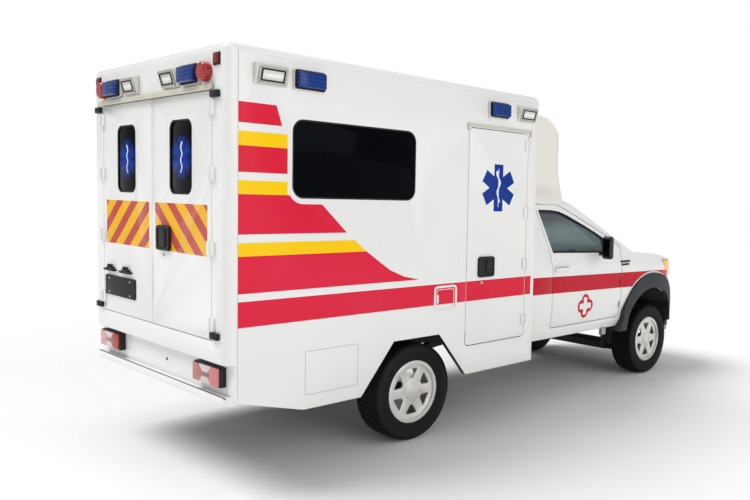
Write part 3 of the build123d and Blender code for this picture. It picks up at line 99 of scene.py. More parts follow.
# Rounded frames: width, height, rim, depth and corner
BEACON_GASKET = (0.216, 0.116, 0.009, 0.012, 0.016)
WORK_FRAME = (0.186, 0.104, 0.016, 0.009, 0.010)
WORK_GASKET = (0.156, 0.074, 0.009, 0.012, 0.008)
FILLER_FRAMES = ((0.232, 0.196, 0.017, 0.006, 0.034), (0.178, 0.142, 0.005, 0.0035, 0.020))
LATCH_RIM = (0.174, 0.156, 0.016, 0.0045, 0.018)

# Places of the fittings: x from the box's rear face, y from the middle, z from the ground
GUTTER_Z, GUTTER_HALF = 2.390, 0.822
DRIP_RAIL_REAR, DRIP_RAIL_FRONT, DRIP_RAIL_Z = 1.925, 2.672, 2.350
BUFFER_Y, BUFFER_FEET = 0.852, (2.342, 0.942)
FILLER_X, FILLER_Z = 1.735, 1.057
SIDE_LATCH_X, SIDE_LATCH_Z, SIDE_LOCK_Z = 2.162, 1.273, 1.150
REAR_LATCH_Y, REAR_LATCH_Z, REAR_LOCK_Y, REAR_LOCK_Z = -0.186, 1.501, -0.174, 1.392
PLATE_LAMPS_Y, PLATE_LAMPS_Z = (0.660, 0.396), 1.222
STEP_HALF, STEP_Z = 0.935, 0.6015
DRAIN_Y, DRAIN_Z = -0.10, 0.700
WING_VENTS = ((4.303, 1.214, 0.084), (4.300, 1.184, 0.066))  # x, z and half length
SILL_BRACKET_X, SILL_BRACKET_Y, SILL_BRACKET_Z = 4.010, 0.835, 0.536
MIRROR_GLASS_Y = 1.045
RADIATOR_X = 2.626
SEAT_Y = 0.370

# The windscreen's foot, the way up it and the way out of it
SCREEN_FOOT = Vector((REAR_X + 4.384, 0, 1.332))
SCREEN_RISE = Vector((-0.749, 0, 0.421))
SCREEN_OUT = Vector((0.490, 0, 0.872))
# (way up the screen, y) of each wiper's pivot and of its blade's two ends
WIPERS = (((0.045, 0.50), (0.095, 0.50), (0.150, -0.02)), ((0.045, -0.10), (0.090, -0.08), (0.110, -0.52)))

# The fairing's flare onto the cab roof: where it ends above and behind, and how far its foot moves
FLARE_TOP_Z, FLARE_HEIGHT = 2.16, 0.32
FLARE_REAR_X, FLARE_LENGTH = 0.18, 0.45
FLARE_REACH, FLARE_DROP = 0.13, 0.035


# Shader graphs

def sums(operation, swapped=False):
    """A method of Value that adds one Math node; one that takes a single value leaves the other at 0."""
    return lambda value, other=0.0: value.sum_with(operation, other, swapped)


class Value:
    """An output socket that takes part in sums; each sum adds a Math node."""

    def __init__(self, finish, socket):
        self.finish = finish
        self.socket = socket

    def sum_with(self, operation, other, swapped=False):
        first, second = (other, self) if swapped else (self, other)
        return self.finish.add("ShaderNodeMath", {"operation": operation}, {0: first, 1: second})
    __add__, __radd__ = sums("ADD"), sums("ADD", swapped=True)
    __sub__, __rsub__ = sums("SUBTRACT"), sums("SUBTRACT", swapped=True)
    __mul__, __rmul__ = sums("MULTIPLY"), sums("MULTIPLY", swapped=True)
    __truediv__, __mod__ = sums("DIVIDE"), sums("FLOORED_MODULO")
    __gt__, __lt__ = sums("GREATER_THAN"), sums("LESS_THAN")
    __abs__, sine, root = sums("ABSOLUTE"), sums("SINE"), sums("SQRT")
    at_least, at_most = sums("MAXIMUM"), sums("MINIMUM")


class Finish:
    """One material with a Principled shader, and the nodes that feed it."""

    def __init__(self, name):
        self.material = bpy.data.materials.new(name)
        self.material.use_nodes = True
        self.tree = self.material.node_tree
        self.tree.nodes.clear()
        output = self.tree.nodes.new("ShaderNodeOutputMaterial")
        self.shader = self.tree.nodes.new("ShaderNodeBsdfPrincipled")
        self.tree.links.new(self.shader.outputs["BSDF"], output.inputs["Surface"])
        self.place = self.add("ShaderNodeTexCoord", output="Object")
        split = self.add("ShaderNodeSeparateXYZ", inputs={0: self.place}, output=None)
        self.x, self.y, self.z = (Value(self, split.outputs[i]) for i in range(3))

    def add(self, kind, settings=None, inputs=None, output=0):
        """Adds one node: its settings first, then the values or links of its sockets."""
        node = self.tree.nodes.new(kind)
        for key, value in (settings or {}).items():
            if key == "stops":
                ramp = node.color_ramp
                while len(ramp.elements) < len(value):
                    ramp.elements.new(0.5)
                for element, (place, colour) in zip(ramp.elements, value):
                    element.position = place
                    element.color = colour
            else:
                setattr(node, key, value)
        for key, value in (inputs or {}).items():
            socket = node.inputs[key]
            if isinstance(value, Value):
                self.tree.links.new(value.socket, socket)
            else:
                socket.default_value = value
        return node if output is None else Value(self, node.outputs[output])

    def set(self, **sockets):
        """Values or links for the shader's sockets; an underscore stands for a space."""
        for key, value in sockets.items():
            socket = self.shader.inputs[key.replace("_", " ")]
            if isinstance(value, Value):
                self.tree.links.new(value.socket, socket)
            else:
                socket.default_value = value

    def noise(self, scale, detail=3.0, stretch=(1, 1, 1)):
        """A noise value from 0 to 1 over the object's own coordinates."""
        place = self.add("ShaderNodeVectorMath", {"operation": "MULTIPLY"}, {0: self.place, 1: stretch})
        return self.add("ShaderNodeTexNoise", inputs={"Vector": place, "Scale": scale, "Detail": detail},
                        output="Fac")

    def blend(self, factor, first, second):
        """A colour between two colours."""
        return self.add("ShaderNodeMix", {"data_type": "RGBA"}, {0: factor, 6: first, 7: second}, output=2)

    def ramp(self, value, *stops):
        """A colour ramp whose stops are (place, colour)."""
        return self.add("ShaderNodeValToRGB", {"stops": stops}, {0: value})

    def bump(self, height, strength=0.3, distance=0.001):
        return self.add("ShaderNodeBump", inputs={"Strength": strength, "Distance": distance, "Height": height})

    def span(self, value, low, high):
        """1 where value lies between low and high."""
        return (value > low) * (value < high)

    def above_line(self, across, up, start, end):
        """1 where the point (across, up) lies above the line through start and end."""
        slope = (end[1] - start[1]) / (end[0] - start[0])
        return up - across * slope > start[1] - slope * start[0]

    def length(self, across, up):
        """Length of the vector (across, up)."""
        return (across * across + up * up).root()

    def rounded_box(self, across, up, center, half, radius):
        """Distance from the edge of a rectangle with rounded corners; below 0 inside."""
        dx = abs(across - center[0]) - (half[0] - radius)
        dz = abs(up - center[1]) - (half[1] - radius)
        outside = self.length(dx.at_least(0.0), dz.at_least(0.0))
        return outside + dx.at_least(dz).at_most(0.0) - radius

    def star(self, across, up, arm_length, arm_half_width):
        """Distance from a six-armed star; below 0 inside."""
        nearest = None
        for turn in (0, 60, 120):
            c, s = math.cos(math.radians(turn)), math.sin(math.radians(turn))
            wide = abs(across * c + up * s) - arm_half_width
            long = abs(up * c - across * s) - arm_length
            arm = wide.at_least(long)
            nearest = arm if nearest is None else nearest.at_most(arm)
        return nearest


def rgb(red, green, blue):
    return (red, green, blue, 1.0)


# The side bands, in metres from the box's rear face and from the ground
WINDOW_CENTER = (0.924, 2.0175)
WINDOW_HALF = (0.497, 0.2415)
WINDOW_RADIUS = 0.078
BAND_START = 0.072
# low, high, and the line that ends the band at its front, from (x, z) to (x, z)
RED_BANDS = (
    (2.205, 2.324, (0.316, 2.324), (0.355, 2.205)),
    (1.922, 2.075, (0.3935, 2.075), (0.394, 1.922)),
)
YELLOW_BANDS = (
    (2.075, 2.158, (0.3935, 2.158), (0.394, 2.075)),
    (1.795, 1.875, (0.3935, 1.875), (0.394, 1.795)),
)
RED_SWEPT = ((1.561, 1.795), (1.214, 1.433))
YELLOW_SWEPT = ((1.433, 1.512),)
SWEEP = ((0.645, 1.74), (0.845, 1.553), (1.010, 1.425), (1.202, 1.297), (1.330, 1.245), (1.478, 1.213))
WAIST_BAND = (1.015, 1.168, 2.722)
STAR_PLACE, GLASS_STAR_PLACE, CROSS_PLACE = (2.291, 1.890), (0.4015, 2.0105), (3.645, 0.821)
HATCH = ((0.735, 0.679), (0.204, 0.139), 0.012)
CHEVRON_INNER, CHEVRON_OUTER, CHEVRON_LOW, CHEVRON_HIGH, CHEVRON_STEP = 0.045, 0.745, 1.420, 1.725, 0.2385
# arch centre height, the radius inside which the arch is painted black as shade, and the radius where the cab
# band stops
ARCH_Z, ARCH_SHADE_RADIUS, ARCH_TRIM_RADIUS = 0.476, 0.572, 0.612
# black of the painted shade in the arches, under the body, in the engine bay and behind the grille
SHADE_BLACK = (0.016, 0.017, 0.018)


def white_paint(name, settings, banded=None):
    """Gloss white paint with a fine orange peel, and the coloured bands where they belong."""
    finish = Finish(name)
    cloud = finish.noise(1.3, 2.0)
    dust = finish.noise(5.0, 6.0) * (1.05 - finish.z).at_least(0.0).at_most(1.0)
    white = finish.blend(cloud, rgb(*settings.white_cool), rgb(*settings.white_warm))
    colour = finish.blend(dust * 0.16, white, rgb(0.50, 0.47, 0.41))
    film = None
    if banded:
        colour, film = banded(finish, settings, colour)
    finish.set(Base_Color=colour, Roughness=0.24 + 0.05 * cloud, Specular_IOR_Level=0.18,
               Coat_Weight=0.45 if film is None else 0.45 - 0.42 * film, Coat_Roughness=0.08,
               Normal=finish.bump(finish.noise(90.0, 1.0), 0.03, 0.0004))
    return finish.material


def box_bands(finish, settings, colour):
    """Red and yellow bands on both sides of the box with a painted sheen in the red, the star on the side door,
    chevrons behind, and painted shade in black on the walls' inner faces low down.
    """
    x = finish.x - REAR_X
    z = finish.z
    side = abs(finish.y) > SIDE_Y - 0.0012
    clear = finish.rounded_box(x, z, WINDOW_CENTER, WINDOW_HALF, WINDOW_RADIUS) > settings.window_margin
    start = x > BAND_START
    swept = None
    for low, high in zip(SWEEP, SWEEP[1:]):
        over = finish.above_line(x, z, low, high)
        swept = over if swept is None else swept * over
    swept = 1.0 - swept
    masks = []
    for bands, swept_bands in ((RED_BANDS, RED_SWEPT), (YELLOW_BANDS, YELLOW_SWEPT)):
        mask = None
        for low, high, top, foot in bands:
            ends = x < top[0] + (top[1] - z) * ((foot[0] - top[0]) / (top[1] - foot[1]))
            band = finish.span(z, low, high) * ends
            mask = band if mask is None else mask + band
        for low, high in swept_bands:
            mask = mask + finish.span(z, low, high) * swept
        masks.append(mask)
    waist = finish.span(z, WAIST_BAND[0], WAIST_BAND[1]) * (x < WAIST_BAND[2])
    red = (masks[0] + waist).at_most(1.0) * side * clear * start
    yellow = masks[1].at_most(1.0) * side * clear * start
    # painted reflection: a noise mixes crimson into the red film as a painted sheen
    painted_sheen = finish.noise(0.9, 1.0)
    red_film = finish.blend(painted_sheen, rgb(*settings.band_red), rgb(*settings.band_reflection_crimson))
    colour = finish.blend(yellow, finish.blend(red, colour, red_film), rgb(*settings.band_yellow))
    # six-armed star with a staff and snake on the side door
    across, up = x - STAR_PLACE[0], z - STAR_PLACE[1]
    blue = (finish.star(across, up, 0.185, 0.052) < 0.0) * (finish.y < 0.02 - SIDE_Y)
    staff = (abs(across) < 0.0035) * (abs(up) < 0.15)
    wave = abs(across - 0.020 * (up * 42.0).sine() * (0.75 + 2.0 * up))
    snake = (wave < 0.0085 + 0.02 * up) * finish.span(up, -0.115, 0.135)
    colour = finish.blend(blue, colour, rgb(*settings.star_blue))
    colour = finish.blend(blue * (staff + snake).at_most(1.0), colour, rgb(0.75, 0.82, 0.90))
    # chevrons on the rear doors
    away = abs(finish.y)
    field = finish.span(away, CHEVRON_INNER, CHEVRON_OUTER) * finish.span(z, CHEVRON_LOW, CHEVRON_HIGH)
    field = field * (finish.x < REAR_X + 0.001)
    turn = (away + (z - CHEVRON_HIGH) * 1.25 - 0.085) % CHEVRON_STEP
    chevron = finish.blend(turn < 0.127, rgb(*settings.chevron_red), rgb(*settings.chevron_yellow))
    film = (red + yellow + blue + field).at_most(1.0)
    # hatch outline and the fold lines of the lower side, drawn as thin shadows
    hatch = abs(finish.rounded_box(x, z, *HATCH)) < 0.0016
    post = abs(x - BAND_START + 0.001) < 0.0011
    lines = (hatch * (finish.y < 0) + post * (z > 0.60)).at_most(1.0) * side
    # painted shade: the box walls' inner faces below 0.79 m are painted black
    inside = (z < 0.79) * (abs(finish.y) < SIDE_Y - 0.004) * (x > 0.09)
    colour = finish.blend(lines, finish.blend(field, colour, chevron), rgb(0.33, 0.33, 0.32))
    return finish.blend(inside, colour, rgb(*SHADE_BLACK)), film


def fairing_cream(finish, settings, colour):
    """The moulded fairing is a little creamier than the sheet panels."""
    return finish.blend(0.75, colour, rgb(0.80, 0.75, 0.66)), finish.noise(2.0) * 0.3


def cab_bands(finish, settings, colour):
    """The waist band over the cab door and wing with a painted sheen in its red, the outlined cross on the
    door, and black painted shade inside the wheel arches, under the cab, in the engine bay and behind the
    grille.
    """
    x = finish.x - REAR_X
    z = finish.z
    away = abs(finish.y)
    side = away > 0.70 + 0.12 * (x < 4.45)
    fall = (x - 2.89) * 0.0185
    band = (z < 1.129 - fall) * (z > 0.979 - fall) * finish.span(x, 2.805, 5.185)
    arch = finish.length(finish.x - FRONT_AXLE_X, z - ARCH_Z)
    band = band * (arch > ARCH_TRIM_RADIUS) * side
    # painted reflection: a noise mixes crimson into the band's red as a painted sheen
    painted_sheen = finish.noise(0.9, 1.0)
    red_film = finish.blend(painted_sheen, rgb(*settings.cab_red), rgb(*settings.emblem_and_reflection_crimson))
    colour = finish.blend(band, colour, red_film)
    # a cross of four round lobes with a white cross left open in it
    across, up = abs(x - CROSS_PLACE[0]), abs(z - CROSS_PLACE[1])
    middle = finish.length(across, up)
    lobe_side = finish.length(across - 0.060, up) - 0.060
    lobe_up = finish.length(across, up - 0.056) - 0.058
    lobes = lobe_side.at_most(lobe_up).at_most(middle - 0.076)
    bar_up = (across - 0.026).at_least(up - 0.082)
    bar_across = (across - 0.088).at_least(up - 0.026)
    cross = bar_up.at_most(bar_across).at_most(middle - 0.040)
    emblem = (lobes < 0.0) * (cross > 0.0) * side
    colour = finish.blend(emblem, colour, rgb(*settings.emblem_and_reflection_crimson))
    # painted shade: black painted inside the wheel arches, under the cab, in the engine bay and behind the
    # grille, where shade falls
    arch_shade = (arch < ARCH_SHADE_RADIUS) * (away < 0.868)
    under = (z < 0.80) * (away < 0.79) * (x < 5.15)
    engine = (away < 0.70) * (z < 1.02) * finish.span(x, 4.33, 5.40)
    behind_grille = (away < 0.42) * (z < 1.0) * finish.span(x, 5.39, 5.53)
    dark = (arch_shade + under + engine + behind_grille).at_most(1.0)
    return finish.blend(dark, colour, rgb(*SHADE_BLACK)), (band + emblem + dark).at_most(1.0)


def mottled(name, wear, dark, light, roughness, stops=(0.3, 0.8), grain=None, bump=(0.15, 0.0003), **sockets):
    """A finish between two tones where it is worn, rougher there too, with a grain if asked."""
    finish = Finish(name)
    worn = finish.noise(*wear)
    if grain:
        sockets["Normal"] = finish.bump(finish.noise(*grain), *bump)
    finish.set(Base_Color=finish.ramp(worn, (stops[0], rgb(*dark)), (stops[1], rgb(*light))),
               Roughness=roughness[0] + roughness[1] * worn, **sockets)
    return finish.material


def black_plastic(name, **sockets):
    """Grained black plastic, a little greyer where it is worn."""
    return mottled(name, (14.0, 5.0), (0.009, 0.009, 0.010), (0.022, 0.022, 0.024), (0.42, 0.25),
                   (0.35, 0.75), (900.0, 2.0), Specular_IOR_Level=0.25, **sockets)


def chassis_paint(name):
    """Satin black chassis paint with road dust."""
    return mottled(name, (7.0, 8.0), (0.008, 0.008, 0.009), (0.030, 0.028, 0.025), (0.45, 0.4),
                   (0.35, 0.8), (160.0,), (0.3, 0.0008))


def bare_metal(name, dark, light, roughness=0.35, metallic=0.9):
    """Rolled or cast metal with fine streaks."""
    streak = (60.0, 4.0, (1, 1, 6))
    return mottled(name, streak, dark, light, (roughness, 0.15), (0.3, 0.75), streak, (0.1, 0.0005),
                   Metallic=metallic)


def dark_glass(name, starred=False):
    """Black privacy glass; the rear panes carry a soft blue star with a pale staff."""
    finish = Finish(name)
    smear = finish.noise(5.0, 4.0)
    colour = finish.ramp(smear, (0.3, rgb(0.0006, 0.0012, 0.0026)), (0.8, rgb(0.0016, 0.0024, 0.0044)))
    if starred:
        across, up = abs(finish.y) - GLASS_STAR_PLACE[0], finish.z - GLASS_STAR_PLACE[1]
        shape = finish.star(across, up, 0.118, 0.040)
        soft = finish.add("ShaderNodeMapRange", {"interpolation_type": "SMOOTHSTEP"},
                          {"Value": shape, "From Min": 0.028, "From Max": -0.030})
        colour = finish.blend(soft * 0.75, colour, rgb(0.008, 0.045, 0.36))
        wave = abs(across - 0.008 * (up * 80.0).sine())
        staff = (wave < 0.0075 + 0.012 * up) * (abs(up) < 0.095)
        colour = finish.blend(staff, colour, rgb(0.62, 0.74, 0.95))
    finish.set(Base_Color=colour, Roughness=0.06 + 0.05 * smear, Specular_IOR_Level=0.03)
    return finish.material


def cab_glass(name):
    """Green tinted window glass with a painted reflection that makes it lighter across the middle of its height
    than at its foot and top.
    """
    finish = Finish(name)
    smear = finish.noise(4.0, 3.0)
    # painted reflection: lighter across the middle of the glass's height, darker at its foot and top
    height = (finish.z - 1.31) / 0.40 + 0.12 * smear
    colour = finish.ramp(height, (0.05, rgb(0.020, 0.045, 0.050)), (0.28, rgb(0.115, 0.195, 0.200)),
                         (0.62, rgb(0.150, 0.235, 0.245)), (0.88, rgb(0.022, 0.040, 0.060)))
    finish.set(Base_Color=colour, Roughness=0.02 + 0.03 * smear, Alpha=0.50 + 0.08 * smear,
               Coat_Weight=1.0, Coat_Roughness=0.01)
    return finish.material


def lens(name, dark, light, rib_scale=260.0):
    """A ribbed coloured lens."""
    finish = Finish(name)
    ribs = (finish.z * rib_scale).sine() * 0.5 + 0.5
    cells = (finish.x * rib_scale).sine() * (finish.y * rib_scale).sine()
    tone = ribs * 0.5 + finish.noise(30.0) * 0.5
    finish.set(Base_Color=finish.ramp(tone, (0.1, rgb(*dark)), (0.9, rgb(*light))),
               Roughness=0.12 + 0.06 * tone, Specular_IOR_Level=0.3, Coat_Weight=0.25, Coat_Roughness=0.03,
               Normal=finish.bump(ribs + cells * 0.3, 0.25, 0.0012))
    return finish.material


def red_lens(name):
    """Red lenses: plain ribbed red above, and below the tail lamps with clear panes between their red ends."""
    finish = Finish(name)
    low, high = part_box("tail_lamps")
    across = abs(abs(finish.y) - (high.y - TAIL_HALF_WIDTH))
    up = abs(finish.z - (low.z + high.z) / 2)
    tail = finish.z < 1.0
    clear = (across < 0.032 + (up - 0.014) * 1.0) * (up > 0.014) * tail
    middle = (across < 0.060) * (up < 0.014) * tail
    ribs = (finish.z * 700.0).sine() * (finish.y * 700.0).sine()
    rings = (finish.z * 380.0).sine() * 0.5 + 0.5
    red = finish.blend(finish.noise(40.0) * 0.6 + rings * 0.4, rgb(0.20, 0.004, 0.006), rgb(0.50, 0.030, 0.026))
    pink = finish.blend((abs(finish.y) > high.y - TAIL_HALF_WIDTH) * tail, red, rgb(0.56, 0.17, 0.17))
    colour = finish.blend(middle, finish.blend(clear, pink, rgb(0.58, 0.50, 0.50)), rgb(0.20, 0.075, 0.055))
    finish.set(Base_Color=colour, Roughness=0.12 + 0.04 * finish.noise(60.0), Specular_IOR_Level=0.4,
               Coat_Weight=0.4, Coat_Roughness=0.03, Normal=finish.bump(ribs + rings, 0.2, 0.001))
    return finish.material


def headlamp_lens(name):
    """Clear headlamp glass over silver bowls, with an amber turn lamp at its rear corner."""
    finish = Finish(name)
    low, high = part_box("headlamps")
    flutes = (finish.y * 160.0).sine() * 0.5 + 0.5
    aside, up = abs(finish.y) - 0.565, finish.z - 0.985
    bowl = finish.length(aside, up)
    bowls = (bowl < 0.050) * 0.5 + flutes * 0.3 - (abs(bowl - 0.050) < 0.005) * 0.6
    silver = finish.ramp(bowls, (0.0, rgb(0.30, 0.32, 0.33)), (0.8, rgb(0.66, 0.68, 0.69)))
    amber = finish.blend(finish.noise(60.0), rgb(0.85, 0.27, 0.01), rgb(0.95, 0.50, 0.05))
    corner = (abs(finish.y) > 0.72) * (finish.x < high.x - 0.30) * (finish.x > low.x + 0.05)
    finish.set(Base_Color=finish.blend(corner, silver, amber), Roughness=0.08 + 0.05 * flutes, Coat_Weight=0.6,
               Coat_Roughness=0.02, Normal=finish.bump(bowls, 0.2, 0.002))
    return finish.material


def wheel_silver(name):
    """Pale silver paint on the wheel covers."""
    finish = Finish(name)
    flake = finish.noise(900.0, 1.0)
    grime = finish.noise(11.0, 5.0)
    colour = finish.ramp(grime, (0.3, rgb(0.74, 0.73, 0.70)), (0.85, rgb(0.52, 0.50, 0.46)))
    finish.set(Base_Color=colour, Metallic=0.35 + 0.2 * flake, Roughness=0.28 + 0.12 * grime, Coat_Weight=0.4,
               Coat_Roughness=0.1, Normal=finish.bump(flake, 0.04, 0.0003))
    return finish.material


def tyre_rubber(name):
    """Black tyre rubber with sidewall rings and dust in the tread."""
    finish = Finish(name)
    axle_x = (finish.x > 0) * (FRONT_AXLE_X - REAR_AXLE_X) + REAR_AXLE_X
    radius = finish.length(finish.x - axle_x, finish.z - AXLE_Z)
    rings = (radius * 900.0).sine() * finish.span(radius, 0.250, 0.318)
    dust = finish.noise(18.0, 8.0)
    tone = dust * 0.7 + 0.3 * finish.span(radius, 0.30, 0.35)
    colour = finish.ramp(tone, (0.3, rgb(0.0045, 0.0045, 0.006)), (0.9, rgb(0.014, 0.0135, 0.013)))
    finish.set(Base_Color=colour, Roughness=0.60 + 0.25 * dust, Specular_IOR_Level=0.22,
               Normal=finish.bump(rings * 0.4 + finish.noise(500.0), 0.30, 0.0010))
    return finish.material


def woven_fabric(name, dark, light):
    """Woven seat cloth."""
    finish = Finish(name)
    weave = (finish.x * 1800.0 + finish.z * 900.0).sine() * (finish.y * 1800.0).sine()
    patch = finish.noise(9.0, 4.0)
    colour = finish.ramp(patch * 0.6 + weave * 0.2 + 0.2, (0.2, rgb(*dark)), (0.8, rgb(*light)))
    finish.set(Base_Color=colour, Roughness=0.85 + 0.1 * patch, Sheen_Weight=0.3,
               Normal=finish.bump(weave, 0.5, 0.0006))
    return finish.material


# Modelling

def set_mode(mode):
    bpy.ops.object.mode_set(mode=mode)


def select_mesh(action="SELECT"):
    bpy.ops.mesh.select_all(action=action)


def apply_transform():
    bpy.ops.object.transform_apply(location=True, rotation=True, scale=True)


def deselect_all():
    if bpy.context.object and bpy.context.object.mode != "OBJECT":
        set_mode("OBJECT")
    bpy.ops.object.select_all(action="DESELECT")


def make_active(piece):
    deselect_all()
    piece.select_set(True)
    bpy.context.view_layer.objects.active = piece


def edit_all(piece):
    make_active(piece)
    set_mode("EDIT")
    select_mesh()


def use_modifier(piece, kind, **settings):
    """Adds a modifier and applies it."""
    make_active(piece)
    bpy.ops.object.modifier_add(type=kind)
    modifier = piece.modifiers[-1]
    for key, value in settings.items():
        setattr(modifier, key, value)
    bpy.ops.object.modifier_apply(modifier=modifier.name)


def soften(piece, width, segments=2, degrees=SHARP_EDGE):
    """Rounds a piece's sharp edges."""
    use_modifier(piece, "BEVEL", width=width, segments=segments, limit_method="ANGLE",
                 angle_limit=math.radians(degrees))


def smooth(piece, degrees=35):
    make_active(piece)
    bpy.ops.object.shade_smooth_by_angle(angle=math.radians(degrees))


def finish_piece(piece, name, material, body, replaces=()):
    """Names a piece, puts its origin on the ground point, and hands it to the frame."""
    make_active(piece)
    apply_transform()
    piece.name = name
    piece.data.name = name
    piece.data.materials.clear()
    piece.data.materials.append(material)
    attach(piece, body)
    if replaces:
        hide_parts(*replaces)
    return piece


def body_of_node(node):
    return frame["nodes"][node]["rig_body"]


def copy_of(node, name):
    """A merged copy of a CAD node with its flat faces made whole."""
    piece = bpy.data.objects.new(name, frame["nodes"][node].data.copy())
    bpy.context.scene.collection.objects.link(piece)
    edit_all(piece)
    bpy.ops.mesh.remove_doubles(threshold=0.00002)
    bpy.ops.mesh.customdata_custom_splitnormals_clear()
    bpy.ops.mesh.dissolve_limited(angle_limit=math.radians(0.6))
    bpy.ops.mesh.normals_make_consistent(inside=False)
    set_mode("OBJECT")
    return piece


def dressed(node, material, bevel=0.0, segments=2):
    """A smooth copy of a CAD node with softened edges, which stands for it."""
    piece = copy_of(node, node + "_skin")
    if bevel:
        soften(piece, bevel, segments, SHARP_CAD_EDGE)
    smooth(piece, SHARP_CAD_EDGE)
    return finish_piece(piece, node + "_skin", material, body_of_node(node), (node,))


def line_inside(piece, middle, lining):
    """Gives the faces that look towards a room's middle the room's own lining."""
    piece.data.materials.append(lining)
    for face in piece.data.polygons:
        face.material_index = int((middle - face.center).dot(face.normal) > 0.02)


def select_faces(piece, wanted):
    """Leaves selected, in edit mode, the faces that the test wants."""
    make_active(piece)
    set_mode("EDIT")
    bpy.ops.mesh.select_mode(type="FACE")
    select_mesh("DESELECT")
    set_mode("OBJECT")
    for face in piece.data.polygons:
        face.select = wanted(face)
    set_mode("EDIT")


def seal(node, name, facing, rim, proud, material):
    """A seal along the border of a pane's outer face, raised a little from it."""
    piece = copy_of(node, name)
    facing = Vector(facing)
    select_faces(piece, lambda face: face.normal.dot(facing) < 0.5)
    bpy.ops.mesh.delete(type="FACE")
    select_mesh()
    bpy.ops.mesh.inset(thickness=rim, use_boundary=True)
    bpy.ops.mesh.delete(type="FACE")
    set_mode("OBJECT")
    use_modifier(piece, "SOLIDIFY", thickness=proud, offset=1.0)
    soften(piece, proud * 0.3)
    smooth(piece)
    return finish_piece(piece, name, material, body_of_node(node))


def ring_frame(width, height, rim, depth, corner):
    """A rounded frame in the XY plane, its face up: a plane cut to a rim and thickened."""
    deselect_all()
    bpy.ops.mesh.primitive_plane_add(size=1)
    piece = bpy.context.object
    piece.scale = (width, height, 1)
    apply_transform()
    set_mode("EDIT")
    select_mesh()
    bpy.ops.mesh.bevel(offset=corner, segments=5, affect="VERTICES")
    select_mesh()
    bpy.ops.mesh.inset(thickness=rim)
    bpy.ops.mesh.delete(type="FACE")
    select_mesh()
    bpy.ops.mesh.extrude_region_move(TRANSFORM_OT_translate={"value": (0, 0, depth)})
    select_mesh()
    bpy.ops.mesh.normals_make_consistent(inside=False)
    set_mode("OBJECT")
    soften(piece, depth * 0.25)
    smooth(piece)
    return piece


def stand(piece, place, across, up):
    """Stands a piece made in the XY plane on a face: its X across and its Y up there."""
    across, up = Vector(across).normalized(), Vector(up).normalized()
    turn = Matrix((across, up, across.cross(up))).transposed().to_4x4()
    make_active(piece)
    piece.matrix_world = Matrix.Translation(place) @ turn @ piece.matrix_world
    apply_transform()
    return piece


def on_surface(node, x, z, side):
    """The point of a node's outer skin at (x, z), looked at from one side."""
    mesh = frame["nodes"][node].data
    tree = BVHTree.FromPolygons([point.co for point in mesh.vertices],
                                [face.vertices for face in mesh.polygons])
    place = tree.ray_cast(Vector((x, side * OUTSIDE_Y, z)), Vector((0, -side, 0)))[0]
    if place is None:
        raise RuntimeError("%s has no skin at x %.3f, z %.3f" % (node, x, z))
    return place


def cushion(size, crown, edge):
    """A crowned pad: a box with full round edges, its face raised inside a sewn channel."""
    piece = block([-v / 2 for v in size], [v / 2 for v in size], edge, 5)
    select_faces(piece, lambda face: face.normal.z > 0.999)
    flat = min(size[0], size[1]) - 2 * edge
    bpy.ops.mesh.inset(thickness=flat * 0.06)
    bpy.ops.mesh.inset(thickness=0.004, depth=-0.006)
    bpy.ops.mesh.inset(thickness=0.004, depth=0.006)
    for share in (0.50, 0.33, 0.17):
        bpy.ops.mesh.inset(thickness=flat * 0.085, depth=crown * share)
    set_mode("OBJECT")
    use_modifier(piece, "SUBSURF", levels=1)
    smooth(piece, 60)
    return piece


def lathe(profile, steps):
    """A profile of (across, radius) points, extruded point by point and spun round the Y axis."""
    deselect_all()
    bpy.ops.mesh.primitive_plane_add(size=0.01)
    piece = bpy.context.object
    set_mode("EDIT")
    select_mesh()
    bpy.ops.mesh.merge(type="CENTER")
    bpy.ops.transform.translate(value=(0, profile[0][0], profile[0][1]))
    for low, high in zip(profile, profile[1:]):
        bpy.ops.mesh.extrude_region_move(
            TRANSFORM_OT_translate={"value": (0, high[0] - low[0], high[1] - low[1])})
    select_mesh()
    bpy.ops.mesh.spin(steps=steps, angle=math.tau, center=(0, 0, 0), axis=(0, 1, 0))
    select_mesh()
    bpy.ops.mesh.remove_doubles(threshold=0.00001)
    bpy.ops.mesh.normals_make_consistent(inside=False)
    set_mode("OBJECT")
    return piece


def another(piece, turn_half=False, move=(0, 0, 0)):
    """A copy of a piece with a mesh of its own, turned half round the Z axis if asked, then moved."""
    copy = bpy.data.objects.new(piece.name + "_copy", piece.data.copy())
    bpy.context.scene.collection.objects.link(copy)
    copy.matrix_world = Matrix.Translation(move) @ Matrix.Rotation(math.pi if turn_half else 0.0, 4, "Z")
    make_active(copy)
    apply_transform()
    return copy


def join(pieces):
    """Joins pieces into the first of them."""
    make_active(pieces[0])
    for piece in pieces:
        piece.select_set(True)
    bpy.ops.object.join()
    return bpy.context.object


def block(low, high, bevel=0.002, segments=2):
    """A box between two corners with rounded edges."""
    low, high = Vector(low), Vector(high)
    deselect_all()
    bpy.ops.mesh.primitive_cube_add(size=1, location=(low + high) / 2)
    piece = bpy.context.object
    piece.scale = [abs(v) for v in (high - low)]
    apply_transform()
    if bevel:
        set_mode("EDIT")
        select_mesh()
        bpy.ops.mesh.bevel(offset=bevel, segments=segments, affect="EDGES")
        set_mode("OBJECT")
    smooth(piece)
    return piece


def block_round(middle, half, bevel, segments=2):
    """A rounded block that reaches half a size each way from its middle."""
    middle, half = Vector(middle), Vector(half)
    return block(middle - half, middle + half, bevel, segments)


def rear_block(y, half, low, high, proud, bevel, segments=2, sunk=0.001):
    """A rounded block on the box's rear face, half a width each way from y."""
    return block((REAR_X - proud, y - half, low), (REAR_X + sunk, y + half, high), bevel, segments)


